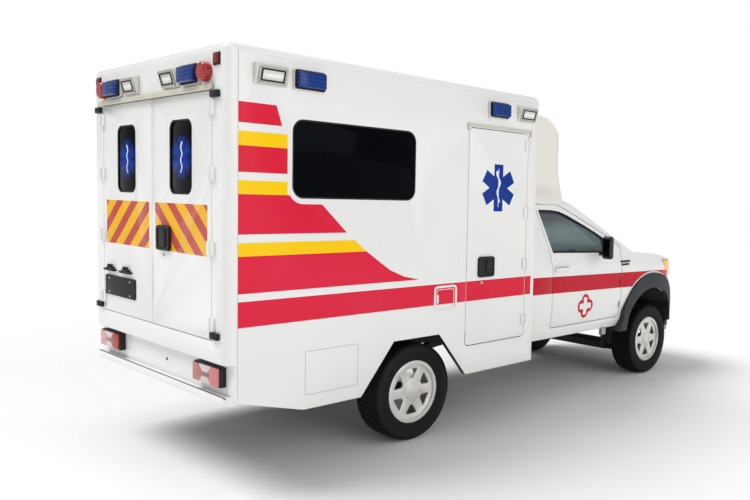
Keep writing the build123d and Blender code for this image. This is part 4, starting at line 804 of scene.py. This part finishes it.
def rod(start, end, radius, sides=20):
    """A round bar between two points with softened ends."""
    start, end = Vector(start), Vector(end)
    deselect_all()
    bpy.ops.mesh.primitive_cylinder_add(radius=radius, depth=(end - start).length, vertices=sides,
                                        location=(start + end) / 2)
    piece = bpy.context.object
    piece.rotation_mode = "QUATERNION"
    piece.rotation_quaternion = (end - start).to_track_quat("Z", "Y")
    apply_transform()
    soften(piece, radius * 0.2)
    smooth(piece)
    return piece


# Settings

class AmbulanceColours(bpy.types.PropertyGroup):
    """Colours of the paint, the bands and the emblems."""
    white_cool: bpy.props.FloatVectorProperty(
        name="White, cool", description="Body paint where it looks cooler",
        default=(0.79, 0.80, 0.79), subtype="COLOR", min=0, max=1)
    white_warm: bpy.props.FloatVectorProperty(
        name="White, warm", description="Body paint where it looks warmer",
        default=(0.83, 0.83, 0.80), subtype="COLOR", min=0, max=1)
    band_red: bpy.props.FloatVectorProperty(
        name="Band red", description="Red film of the side bands",
        default=(0.70, 0.006, 0.020), subtype="COLOR", min=0, max=1)
    # Crimson mixed into the band red by a noise, as a painted reflection
    band_reflection_crimson: bpy.props.FloatVectorProperty(
        name="Band crimson", description="Red film where it turns bluish",
        default=(0.72, 0.020, 0.075), subtype="COLOR", min=0, max=1)
    band_yellow: bpy.props.FloatVectorProperty(
        name="Band yellow", description="Yellow film of the bands",
        default=(0.95, 0.60, 0.001), subtype="COLOR", min=0, max=1)
    cab_red: bpy.props.FloatVectorProperty(
        name="Cab red", description="Red film of the cab's band",
        default=(0.50, 0.003, 0.010), subtype="COLOR", min=0, max=1)
    emblem_and_reflection_crimson: bpy.props.FloatVectorProperty(
        # Crimson of the outlined cross, also mixed into the cab band red by a noise as a painted reflection
        name="Cab crimson", description="Cab film where it turns bluish",
        default=(0.55, 0.004, 0.030), subtype="COLOR", min=0, max=1)
    chevron_yellow: bpy.props.FloatVectorProperty(
        name="Chevron yellow",
        description="Yellow film of the rear chevrons",
        default=(0.84, 0.45, 0.010), subtype="COLOR", min=0, max=1)
    chevron_red: bpy.props.FloatVectorProperty(
        name="Chevron red", description="Red film of the rear chevrons",
        default=(0.50, 0.070, 0.055), subtype="COLOR", min=0, max=1)
    star_blue: bpy.props.FloatVectorProperty(
        name="Star blue", description="Blue film of the six-armed star",
        default=(0.002, 0.030, 0.26), subtype="COLOR", min=0, max=1)
    window_margin: bpy.props.FloatProperty(
        name="Window margin", description="White edge between window and bands",
        default=0.034, unit="LENGTH", min=0.0, max=0.2)


class AmbulanceSizes(bpy.types.PropertyGroup):
    """Sizes of the edges and small pieces."""
    panel_bevel: bpy.props.FloatProperty(
        name="Panel edge", description="Rounding of the sheet panel edges",
        default=0.0025, unit="LENGTH", min=0.0, max=0.02)
    tread_blocks: bpy.props.IntProperty(
        name="Tread blocks", description="Tread blocks round a tyre",
        default=64, min=12, max=120)
    tread_depth: bpy.props.FloatProperty(
        name="Tread depth", description="Depth of the tread grooves",
        default=0.009, unit="LENGTH", min=0.001, max=0.02)
    gutter_drop: bpy.props.FloatProperty(
        name="Gutter height", description="Height of the rain gutter over the doors",
        default=0.035, unit="LENGTH", min=0.01, max=0.1)


class AmbulanceLight(bpy.types.PropertyGroup):
    """Powers of the studio's lights."""
    sky: bpy.props.FloatProperty(
        name="Sky", description="Strength of the white surroundings as a light",
        default=0.46, min=0.0, max=4.0)
    key: bpy.props.FloatProperty(
        name="Key sun", description="Strength of the high sun behind the vehicle",
        default=2.3, min=0.0, max=20.0)
    fill: bpy.props.FloatProperty(
        name="Fill sun", description="Strength of the low sun on the camera's side",
        default=1.15, min=0.0, max=20.0)


# Pieces

class AMBULANCE_OT_box_panels(bpy.types.Operator):
    """Painted panels of the box body, with bands, star and chevrons"""
    bl_idname = "ambulance.box_panels"
    bl_label = "Box panels"

    def execute(self, context):
        colours, sizes = context.scene.ambulance_colours, context.scene.ambulance_sizes
        banded = white_paint("box_paint_banded", colours, box_bands)
        plain = white_paint("box_paint_plain", colours)
        for node in ("box_wall_left", "box_wall_right", "side_door", "rear_door_left", "rear_door_right"):
            dressed(node, banded, sizes.panel_bevel)
        for node in ("box_roof", "box_wall_front", "rear_frame", "rear_skirt"):
            dressed(node, plain, sizes.panel_bevel)
        floor = bare_metal("floor_covering", (0.10, 0.105, 0.115), (0.20, 0.205, 0.215), 0.6, 0.0)
        dressed("box_floor", floor, 0.002)
        return {"FINISHED"}


class AMBULANCE_OT_cab_panels(bpy.types.Operator):
    """Painted panels of the cab and nose, with the waist band and the outlined cross"""
    bl_idname = "ambulance.cab_panels"
    bl_label = "Cab panels"

    def fairing(self, paint):
        """The roof fairing with its foot drawn forward in a hollow curve onto the cab roof."""
        piece = copy_of("roof_fairing", "roof_fairing_skin")
        soften(piece, 0.012, 3, SHARP_CAD_EDGE)
        edit_all(piece)
        cuts = [((0, 0, 1.86 + step * 0.035), UP) for step in range(9)]
        cuts += [((0.20 + step * 0.09, 0, 0), FORWARD) for step in range(5)]
        for place, normal in cuts:
            select_mesh()
            bpy.ops.mesh.bisect(plane_co=place, plane_no=normal)
        set_mode("OBJECT")
        foot = piece.vertex_groups.new(name="foot")
        for point in piece.data.vertices:
            low = min(max((FLARE_TOP_Z - point.co.z) / FLARE_HEIGHT, 0.0), 1.0)
            ahead = min(max((point.co.x - FLARE_REAR_X) / FLARE_LENGTH, 0.0), 1.0)
            foot.add([point.index], low * low * ahead, "REPLACE")
        for direction, strength in (("X", FLARE_REACH), ("Z", -FLARE_DROP)):
            use_modifier(piece, "DISPLACE", direction=direction, strength=strength, mid_level=0.0,
                         vertex_group="foot")
        smooth(piece, SHARP_EDGE)
        finish_piece(piece, "roof_fairing_skin", paint, "root", ("roof_fairing",))

    def execute(self, context):
        colours, sizes = context.scene.ambulance_colours, context.scene.ambulance_sizes
        banded = white_paint("cab_paint_banded", colours, cab_bands)
        for node in ("cowl_panel", "nose_panel", "hood", "front_bumper"):
            dressed(node, banded, sizes.panel_bevel)
        trim = mottled("cabin_trim", (8.0, 4.0), (0.10, 0.10, 0.105), (0.15, 0.15, 0.15), (0.60, 0.2),
                       grain=(700.0, 2.0), bump=(0.2, 0.0004), Specular_IOR_Level=0.3)
        bay = chassis_paint("engine_bay_paint")
        cabin, engine = Vector((0.70, 0, 1.25)), Vector((2.05, 0, 0.95))
        for nodes, middle, lining in ((("cab_shell", "cab_door_left", "cab_door_right"), cabin, trim),
                                      (("front_fender_left", "front_fender_right"), engine, bay)):
            for node in nodes:
                line_inside(dressed(node, banded, sizes.panel_bevel), middle, lining)
        self.fairing(white_paint("fairing_paint", colours, fairing_cream))
        plastic = black_plastic("mirror_plastic", Coat_Weight=0.5)
        for name, side in SIDES:
            low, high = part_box("mirror_" + name)
            tip, root = (high.y, low.y) if side > 0 else (low.y, high.y)
            head = block((low.x + 0.001, tip - side * 0.0005, low.z + 0.001),
                         (low.x + 0.060, tip - side * 0.116, high.z - 0.0005), 0.0285, 7)
            arm = rod((low.x + 0.040, tip - side * 0.095, low.z + 0.040),
                      (low.x + 0.200, root + side * 0.004, low.z + 0.040), 0.017)
            foot = block((high.x - 0.116, root + side * 0.001, low.z + 0.018),
                         (high.x, root + side * 0.014, low.z + 0.064), 0.005, 3)
            finish_piece(join([head, arm, foot]), "mirror_%s_skin" % name, plastic,
                         "cab_door_" + name, ("mirror_" + name,))
        flares = mottled("arch_plastic", (6.0, 5.0), (0.026, 0.029, 0.034), (0.044, 0.048, 0.056),
                         (0.50, 0.2), grain=(1100.0, 1.0), Specular_IOR_Level=0.3)
        dressed("wheel_flares", flares, 0.006, segments=3)
        dressed("grille", black_plastic("grille_plastic"))
        return {"FINISHED"}


class AMBULANCE_OT_glass(bpy.types.Operator):
    """Windows of the box and the cab"""
    bl_idname = "ambulance.glass"
    bl_label = "Glass"

    def execute(self, context):
        starred = dark_glass("rear_pane_glass", starred=True)
        for node in ("rear_glass_left", "rear_glass_right"):
            dressed(node, starred, 0.001)
        dressed("side_windows", dark_glass("side_pane_glass"), 0.001)
        clear = cab_glass("cab_pane_glass")
        for node in ("cab_glass_left", "cab_glass_right", "windscreen"):
            dressed(node, clear, 0.0)
        return {"FINISHED"}


class AMBULANCE_OT_lamps(bpy.types.Operator):
    """Beacons, work lamps, red lamps, tail lamps and headlamps"""
    bl_idname = "ambulance.lamps"
    bl_label = "Lamps"

    def execute(self, context):
        bezel = mottled("lamp_bezel_plastic", (20.0,), (0.62, 0.60, 0.55), (0.72, 0.71, 0.67), (0.35, 0.1))
        dressed("lamp_housings", bezel, 0.003)
        dressed("beacon_lenses", lens("beacon_blue", (0.0005, 0.012, 0.11), (0.001, 0.045, 0.27)),
                0.008, segments=3)
        dressed("work_lenses", lens("work_clear", (0.60, 0.60, 0.58), (0.93, 0.93, 0.91), 180.0),
                0.003)
        dressed("red_lenses", red_lens("lamp_red"), 0.004)
        dressed("tail_lamps", black_plastic("tail_lamp_body"), 0.003)
        dressed("headlamps", headlamp_lens("headlamp_clear"), 0.002)
        return {"FINISHED"}


class AMBULANCE_OT_running_gear(bpy.types.Operator):
    """Chassis, axles, springs, driveline, tank and engine"""
    bl_idname = "ambulance.running_gear"
    bl_label = "Running gear"

    def execute(self, context):
        paint = chassis_paint("chassis_black")
        for node in ("chassis_frame", "rear_axle", "leaf_springs", "driveline", "fuel_tank",
                     "front_suspension", "knuckle_left", "knuckle_right"):
            dressed(node, paint, 0.002)
        cast = bare_metal("engine_casting", (0.10, 0.10, 0.10), (0.24, 0.23, 0.22), 0.55, 0.6)
        dressed("engine_block", cast, 0.006)
        # radiator behind the grille: a core with cooling rows between two tanks, and its cap
        def slab(half_depth, half_width, low, height, bevel, segments=2):
            return block((RADIATOR_X - half_depth, -half_width, low),
                         (RADIATOR_X + half_depth, half_width, low + height), bevel, segments)

        core = slab(0.014, 0.335, 0.625, 0.320, 0.002)
        rows = [slab(0.020, 0.332, 0.640 + step * 0.016, 0.005, 0.0) for step in range(19)]
        tanks = [slab(0.030, 0.345, low, 0.045, 0.012, 4) for low in (0.590, 0.940)]
        cap = rod((RADIATOR_X, -0.20, 0.980), (RADIATOR_X, -0.20, 1.004), 0.024)
        finish_piece(join([core] + rows + tanks + [cap]), "radiator", cast, "root")
        return {"FINISHED"}


class AMBULANCE_OT_wheels(bpy.types.Operator):
    """Tyres and wheel covers"""
    bl_idname = "ambulance.wheels"
    bl_label = "Wheels"

    def execute(self, context):
        sizes = context.scene.ambulance_sizes
        rubber = tyre_rubber("road_tyre_rubber")
        silver = wheel_silver("wheel_cover_silver")
        half, top = TYRE_WIDTH / 2, TYRE_RADIUS - sizes.tread_depth
        # across and radius from the outer bead round the tread, mirrored for the inner side
        side = ((0.875, 0.222), (0.880, 0.236), (0.925, 0.240), (0.940, 0.252), (0.985, 0.262), (0.985, 0.268),
                (0.999, 0.290), (0.996, 0.306), (0.980, 0.310), (0.972, 0.322), (0.925, top - 0.014),
                (0.835, top - 0.0035))
        rows = ((0.52, top - 0.001), (0.18, top), (-0.18, top), (-0.52, top - 0.001))
        profile = [(half * share, radius) for share, radius in side + rows]
        profile += [(-half * share, radius) for share, radius in reversed(side)]
        tyre = lathe(profile, sizes.tread_blocks)
        select_faces(tyre, lambda face: abs(face.center.y) < half * 0.90
                     and math.hypot(face.center.x, face.center.z) > top - 0.012)
        bpy.ops.mesh.inset(thickness=0.0024, use_individual=True)
        bpy.ops.mesh.extrude_faces_move(TRANSFORM_OT_shrink_fatten={"value": sizes.tread_depth - 0.001})
        set_mode("OBJECT")
        smooth(tyre, 30)
        for wheel in WHEELS:
            low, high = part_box("tyre_" + wheel)
            copy = another(tyre, "right" in wheel, (low + high) / 2)
            finish_piece(copy, "tyre_" + wheel + "_road", rubber, "wheel_" + wheel,
                         ("tyre_" + wheel,))
            dressed("rim_" + wheel, silver, 0.0015)
        deselect_all()
        tyre.select_set(True)
        bpy.ops.object.delete()
        return {"FINISHED"}


class AMBULANCE_OT_lamp_frames(bpy.types.Operator):
    """Frames of the beacons and work lamps, and the marker lamps"""
    bl_idname = "ambulance.lamp_frames"
    bl_label = "Lamp frames"

    def execute(self, context):
        def spot(face, along, proud, up):
            outward = Vector((face[0], face[1], 0))
            place = Vector((REAR_X, along, up)) if face[0] else Vector((REAR_X + along, face[1] * SIDE_Y, up))
            return place + outward * proud, Vector((-outward.y, outward.x, 0)), outward

        gaskets, frames = [], []
        for face, along in BEACONS:
            place, across, outward = spot(face, along, 0.018, LAMP_Z)
            gaskets.append(stand(ring_frame(*BEACON_GASKET), place, across, UP))
        for face, along in WORK_LAMPS:
            place, across, outward = spot(face, along, 0.0285, LAMP_Z - 0.0035)
            up = UP * 0.103 + outward * 0.030
            frames.append(stand(ring_frame(*WORK_FRAME), place, across, up))
            gaskets.append(stand(ring_frame(*WORK_GASKET), place, across, up))
        plastic = black_plastic("lamp_gasket_plastic")
        finish_piece(join(gaskets), "lamp_gaskets", plastic, "root")
        steel = bare_metal("lamp_frame_metal", (0.34, 0.33, 0.30), (0.60, 0.58, 0.53), 0.32, 0.7)
        finish_piece(join(frames), "work_lamp_frames", steel, "root")
        lenses, bases = [], []
        for y in (MARKER_Y, -MARKER_Y):
            lenses.append(rear_block(y, 0.028, MARKER_Z - 0.028, MARKER_Z + 0.028, 0.016, 0.007, 4, -0.001))
            bases.append(rear_block(y, 0.038, MARKER_Z - 0.036, MARKER_Z + 0.036, 0.007, 0.003, 3))
        finish_piece(join(bases), "marker_lamp_bases", plastic, "root")
        marker = lens("marker_red", (0.10, 0.003, 0.004), (0.30, 0.015, 0.012), 500.0)
        finish_piece(join(lenses), "marker_lamp_lenses", marker, "root")
        return {"FINISHED"}


class AMBULANCE_OT_fittings(bpy.types.Operator):
    """Gutter, drip rail, buffers, filler frame, latches, locks and plate lamps of the box"""
    bl_idname = "ambulance.fittings"
    bl_label = "Fittings"

    def execute(self, context):
        sizes, colours = context.scene.ambulance_sizes, context.scene.ambulance_colours
        plastic = black_plastic("fitting_plastic")
        for node in ("side_door_latch", "rear_door_latch", "plate_holder"):
            dressed(node, plastic, 0.003)
        cream = mottled("gutter_cream", (8.0,), (0.56, 0.54, 0.44), (0.66, 0.64, 0.55), (0.35, 0.1),
                        Specular_IOR_Level=0.3)
        gutter = rear_block(0, GUTTER_HALF, GUTTER_Z, GUTTER_Z + sizes.gutter_drop, 0.020, 0.008, 3)
        lip = rear_block(0, GUTTER_HALF + 0.004, GUTTER_Z - 0.002, GUTTER_Z + 0.010, 0.026, 0.003, sunk=-0.016)
        finish_piece(join([gutter, lip]), "rear_gutter", cream, "root")
        rear, front = REAR_X + DRIP_RAIL_REAR, REAR_X + DRIP_RAIL_FRONT
        rail = block((rear, -SIDE_Y - 0.016, DRIP_RAIL_Z),
                     (front, -SIDE_Y + 0.001, DRIP_RAIL_Z + 0.018), 0.004, 3)
        ends = [block((x - 0.008, -SIDE_Y - 0.014, DRIP_RAIL_Z - 0.035),
                      (x + 0.008, -SIDE_Y + 0.001, DRIP_RAIL_Z + 0.006), 0.003)
                for x in (rear + 0.008, front - 0.008)]
        finish_piece(join([rail] + ends), "side_drip_rail", cream, "root")
        buffers = []
        for y in (BUFFER_Y, -BUFFER_Y):
            for foot in BUFFER_FEET:
                buffers.append(rear_block(y, 0.045, foot, foot + 0.042, 0.024, 0.008, 3))
                buffers.append(rear_block(y, 0.022, foot + 0.010, foot + 0.032, 0.027, 0.003, sunk=-0.018))
        finish_piece(join(buffers), "door_buffers", black_plastic("buffer_rubber"), "root")
        # fuel filler behind a rounded frame in the waist band
        paint = white_paint("filler_paint", colours)
        place = Vector((REAR_X + FILLER_X, -SIDE_Y, FILLER_Z))
        frames = [stand(ring_frame(*frame_sizes), place, FORWARD, UP) for frame_sizes in FILLER_FRAMES]
        frames.append(block(place + Vector((-0.084, -0.0045, -0.030)), place + Vector((-0.070, 0.001, 0.030)),
                            0.0015))
        finish_piece(join(frames), "fuel_filler_frame", paint, "root")
        # latches: a rim and a paddle on each, then the locks
        silver = bare_metal("lock_metal", (0.45, 0.45, 0.44), (0.70, 0.70, 0.68), 0.25)
        side_x, side_y = REAR_X + SIDE_LATCH_X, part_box("side_door_latch")[0].y
        rim = stand(ring_frame(*LATCH_RIM), (side_x, side_y + 0.0005, SIDE_LATCH_Z), FORWARD, UP)
        paddle = block((side_x - 0.010, side_y - 0.0075, SIDE_LATCH_Z - 0.056),
                       (side_x + 0.058, side_y + 0.001, SIDE_LATCH_Z + 0.056), 0.006, 3)
        finish_piece(join([rim, paddle]), "side_latch_paddle", black_plastic("paddle_plastic"),
                     "side_door")
        lock_x, door_y = side_x - 0.040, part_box("side_door")[0].y + 0.025
        finish_piece(rod((lock_x, door_y + 0.002, SIDE_LOCK_Z), (lock_x, door_y - 0.006, SIDE_LOCK_Z), 0.011),
                     "side_door_lock", silver, "side_door")
        rear_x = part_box("rear_door_latch")[0].x
        rim = stand(ring_frame(*LATCH_RIM), (rear_x + 0.0005, REAR_LATCH_Y, REAR_LATCH_Z), (0, -1, 0), UP)
        paddle = block((rear_x - 0.0075, REAR_LATCH_Y - 0.046, REAR_LATCH_Z - 0.056),
                       (rear_x + 0.001, REAR_LATCH_Y + 0.026, REAR_LATCH_Z + 0.056), 0.006, 3)
        finish_piece(join([rim, paddle]), "rear_latch_paddle", black_plastic("rear_paddle_plastic"),
                     "rear_door_right")
        finish_piece(rod((REAR_X + 0.002, REAR_LOCK_Y, REAR_LOCK_Z), (REAR_X - 0.006, REAR_LOCK_Y, REAR_LOCK_Z),
                         0.010), "rear_door_lock", silver, "rear_door_right")
        # plate screws and the two lamps over the plate
        low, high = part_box("plate_holder")
        screws = [rod((low.x + 0.002, y, z), (low.x - 0.0025, y, z), 0.0075, 12)
                  for y in (low.y + 0.075, high.y - 0.075) for z in (low.z + 0.022, high.z - 0.022)]
        finish_piece(join(screws), "plate_screws", silver, "rear_door_left")
        lamps = []
        for y in PLATE_LAMPS_Y:
            for half, up, proud in ((0.083, 0.0, 0.030), (0.050, 0.012, 0.024)):
                foot = PLATE_LAMPS_Z + up
                lamps.append(rear_block(y, half, foot, foot + 0.016, proud, 0.005, 3))
            for step in (-0.030, 0.0, 0.030):
                foot = Vector((REAR_X - 0.014, y + step, PLATE_LAMPS_Z + 0.024))
                lamps.append(rod(foot, foot + UP * 0.022, 0.007, 12))
        finish_piece(join(lamps), "plate_lamps", plastic, "rear_door_left")
        # rubber along the step, and the drain in the rear panel
        strip = rear_block(0, STEP_HALF, STEP_Z, STEP_Z + 0.005, -0.009, 0.001, sunk=0.017)
        drain = rod((REAR_X + 0.0515, DRAIN_Y, DRAIN_Z), (REAR_X + 0.0475, DRAIN_Y, DRAIN_Z), 0.011)
        finish_piece(join([strip, drain]), "step_strip", plastic, "root")
        # seals round the panes
        rubber = black_plastic("window_rubber")
        for name in ("left", "right"):
            seal("rear_glass_" + name, "rear_seal_" + name, (-1, 0, 0), 0.011, 0.0045, rubber)
        for name, side in SIDES:
            seal("side_windows", "side_seal_" + name, (0, side, 0), 0.010, 0.004, rubber)
        return {"FINISHED"}


class AMBULANCE_OT_cab_trim(bpy.types.Operator):
    """Window seals, wing vents, mirror glass, wipers and brackets of the cab"""
    bl_idname = "ambulance.cab_trim"
    bl_label = "Cab trim"

    def execute(self, context):
        rubber = black_plastic("cab_window_rubber")
        for name, side in SIDES:
            seal("cab_glass_" + name, "cab_seal_" + name, (0, side, 0), 0.016, 0.005, rubber)
        seal("windscreen", "screen_seal", (0.49, 0, 0.87), 0.030, 0.002, rubber)
        vents, brackets = [], []
        for name, side in SIDES:
            for x, z, half in WING_VENTS:
                place = on_surface("front_fender_" + name, REAR_X + x, z, side)
                vents.append(block_round(place, (half, 0.010, 0.009), 0.004, 3))
            brackets.append(block_round((REAR_X + SILL_BRACKET_X, side * SILL_BRACKET_Y, SILL_BRACKET_Z),
                                        (0.035, 0.020, 0.036), 0.008, 3))
        finish_piece(join(vents), "wing_vents", black_plastic("vent_plastic"), "root")
        steel = bare_metal("bracket_metal", (0.30, 0.30, 0.29), (0.48, 0.47, 0.45))
        finish_piece(join(brackets), "sill_brackets", steel, "root")
        glass = dark_glass("mirror_glass")
        for name, side in SIDES:
            low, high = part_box("mirror_" + name)
            y = side * MIRROR_GLASS_Y
            pane = block((low.x + 0.0003, y - 0.036, low.z + 0.026), (low.x + 0.006, y + 0.036, high.z - 0.026),
                         0.0025, 4)
            finish_piece(pane, "mirror_glass_" + name, glass, "cab_door_" + name)

        # wipers at rest along the windscreen's foot
        def on_screen(share, y, lift):
            return SCREEN_FOOT + SCREEN_RISE * share + SCREEN_OUT * (lift - 0.016) + Vector((0, y, 0))

        wipers = []
        for pivot, low, high in WIPERS:
            wipers.append(rod(on_screen(*pivot, -0.010), on_screen(*pivot, 0.020), 0.012))
            middle = [(a + b) / 2 for a, b in zip(low, high)]
            wipers.append(rod(on_screen(*pivot, 0.016), on_screen(*middle, 0.014), 0.006, 12))
            wipers.append(rod(on_screen(*low, 0.007), on_screen(*high, 0.007), 0.006, 12))
        finish_piece(join(wipers), "wipers", rubber, "root")
        # black panel from the dashboard's top to the foot of the windscreen
        ledge = block((-0.5, -0.5, 0), (0.5, 0.5, 0.012), 0.0)
        ledge.scale = (1.20, 0.165, 1)
        apply_transform()
        soften(ledge, 0.004)
        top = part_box("dashboard")[1]
        stand(ledge, (top.x + 0.045, 0, 1.245), (0, 1, 0), (-0.12, 0, -0.055))
        finish_piece(ledge, "dash_ledge", black_plastic("ledge_plastic"), "root")
        return {"FINISHED"}


class AMBULANCE_OT_cab_inside(bpy.types.Operator):
    """Dashboard, steering wheel and seats"""
    bl_idname = "ambulance.cab_inside"
    bl_label = "Cab inside"

    def execute(self, context):
        plastic = black_plastic("dash_plastic")
        dressed("dashboard", plastic, 0.01, segments=3)
        dressed("steering_wheel", plastic, 0.0)
        cloth = woven_fabric("seat_cloth", (0.020, 0.020, 0.022), (0.060, 0.060, 0.065))
        low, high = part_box("cab_seats")
        pads = []
        for y in (SEAT_Y, -SEAT_Y):
            seat = cushion((0.50, 0.46, 0.15), 0.028, 0.045)
            stand(seat, (low.x + 0.360, y, low.z + 0.095), (0, 1, 0), (-1, 0, -0.10))
            back = cushion((0.48, 0.56, 0.11), 0.024, 0.040)
            stand(back, (low.x + 0.135, y, low.z + 0.425), (0, -1, 0), (-0.17, 0, 1))
            head = cushion((0.25, 0.13, 0.09), 0.014, 0.034)
            stand(head, (low.x + 0.052, y, high.z - 0.070), (0, -1, 0), (-0.10, 0, 1))
            pads += [seat, back, head]
        seats = finish_piece(join(pads), "seat_pads", cloth, "root", ("cab_seats",))
        return {"FINISHED"}


class AMBULANCE_OT_studio(bpy.types.Operator):
    """Pale floor, soft lights and the photograph's camera"""
    bl_idname = "ambulance.studio"
    bl_label = "Studio"

    def execute(self, context):
        light_of = context.scene.ambulance_light
        deselect_all()
        bpy.ops.mesh.primitive_circle_add(vertices=96, radius=260, fill_type="NGON", location=(0, 0, 0))
        floor = bpy.context.object
        floor.name = "studio_floor"
        floor.data.materials.append(mottled("studio_floor_paint", (0.6, 2.0), (0.88, 0.88, 0.885),
                                            (0.90, 0.90, 0.905), (0.85, 0.05)))
        # white behind the vehicle, and a softer white that lights it
        world = bpy.data.worlds.new("studio_world")
        world.use_nodes = True
        nodes, links = world.node_tree.nodes, world.node_tree.links
        background = nodes["Background"]
        background.inputs["Color"].default_value = (1.0, 1.0, 1.0, 1.0)
        rays = nodes.new("ShaderNodeLightPath")
        strength = nodes.new("ShaderNodeMix")
        strength.inputs[2].default_value = light_of.sky
        strength.inputs[3].default_value = 1.0
        links.new(rays.outputs["Is Camera Ray"], strength.inputs[0])
        links.new(strength.outputs[0], background.inputs["Strength"])
        context.scene.world = world
        # name, where it shines from, softness in degrees, power
        for name, place, softness, power in (
            ("key_sun", (-0.50, 0.50, 1.0), 34.0, light_of.key),
            ("fill_sun", (0.05, -1.0, 0.30), 60.0, light_of.fill),
        ):
            deselect_all()
            bpy.ops.object.light_add(type="SUN", location=Vector(place) * 12)
            light = bpy.context.object
            light.name = name
            light.data.angle = math.radians(softness)
            light.data.energy = power
            light.rotation_euler = Vector(place).to_track_quat("Z", "Y").to_euler()
        # camera solved from the photograph, its place measured from the box's rear face
        yaw, pitch, roll = math.radians(41.945), math.radians(-3.96), math.radians(1.556)
        forward = Vector((math.cos(yaw) * math.cos(pitch), math.sin(yaw) * math.cos(pitch), math.sin(pitch)))
        level = Vector((math.sin(yaw), -math.cos(yaw), 0.0))
        upright = level.cross(forward)
        right = math.cos(roll) * level + math.sin(roll) * upright
        up = -math.sin(roll) * level + math.cos(roll) * upright
        deselect_all()
        bpy.ops.object.camera_add()
        camera = bpy.context.object
        camera.name = "photo_camera"
        camera.matrix_world = Matrix((
            (right.x, up.x, -forward.x, REAR_X - 2.14925),
            (right.y, up.y, -forward.y, -4.99119),
            (right.z, up.z, -forward.z, 1.81474),
            (0, 0, 0, 1),
        ))
        camera.data.sensor_width = 36.0
        camera.data.lens = 756.156 / 750 * 36.0
        camera.data.shift_x = (375 - 500) / 750
        camera.data.clip_end = 400.0
        context.scene.camera = camera
        context.scene.view_settings.view_transform = "Standard"
        return {"FINISHED"}


PIECES = (
    AMBULANCE_OT_box_panels, AMBULANCE_OT_cab_panels, AMBULANCE_OT_glass, AMBULANCE_OT_lamps,
    AMBULANCE_OT_lamp_frames, AMBULANCE_OT_running_gear, AMBULANCE_OT_wheels, AMBULANCE_OT_fittings,
    AMBULANCE_OT_cab_trim, AMBULANCE_OT_cab_inside, AMBULANCE_OT_studio,
)


class AMBULANCE_PT_panel(bpy.types.Panel):
    """Lists the ambulance's pieces in the sidebar"""
    bl_idname = "AMBULANCE_PT_panel"
    bl_label = "Ambulance"
    bl_space_type = "VIEW_3D"
    bl_region_type = "UI"
    bl_category = "Ambulance"

    def draw(self, context):
        for group in (context.scene.ambulance_colours, context.scene.ambulance_sizes,
                      context.scene.ambulance_light):
            for name in group.__annotations__:
                self.layout.prop(group, name)
        for piece in PIECES:
            self.layout.operator(piece.bl_idname)


CLASSES = (AmbulanceColours, AmbulanceSizes, AmbulanceLight, *PIECES, AMBULANCE_PT_panel)


def register():
    for item in CLASSES:
        bpy.utils.register_class(item)
    bpy.types.Scene.ambulance_colours = bpy.props.PointerProperty(type=AmbulanceColours)
    bpy.types.Scene.ambulance_sizes = bpy.props.PointerProperty(type=AmbulanceSizes)
    bpy.types.Scene.ambulance_light = bpy.props.PointerProperty(type=AmbulanceLight)


def unregister():
    del bpy.types.Scene.ambulance_light
    del bpy.types.Scene.ambulance_sizes
    del bpy.types.Scene.ambulance_colours
    for item in reversed(CLASSES):
        bpy.utils.unregister_class(item)


def main():
    register()
    for piece in PIECES:
        group, name = piece.bl_idname.split(".")
        getattr(getattr(bpy.ops, group), name)()


if __name__ == "__main__":
    main()
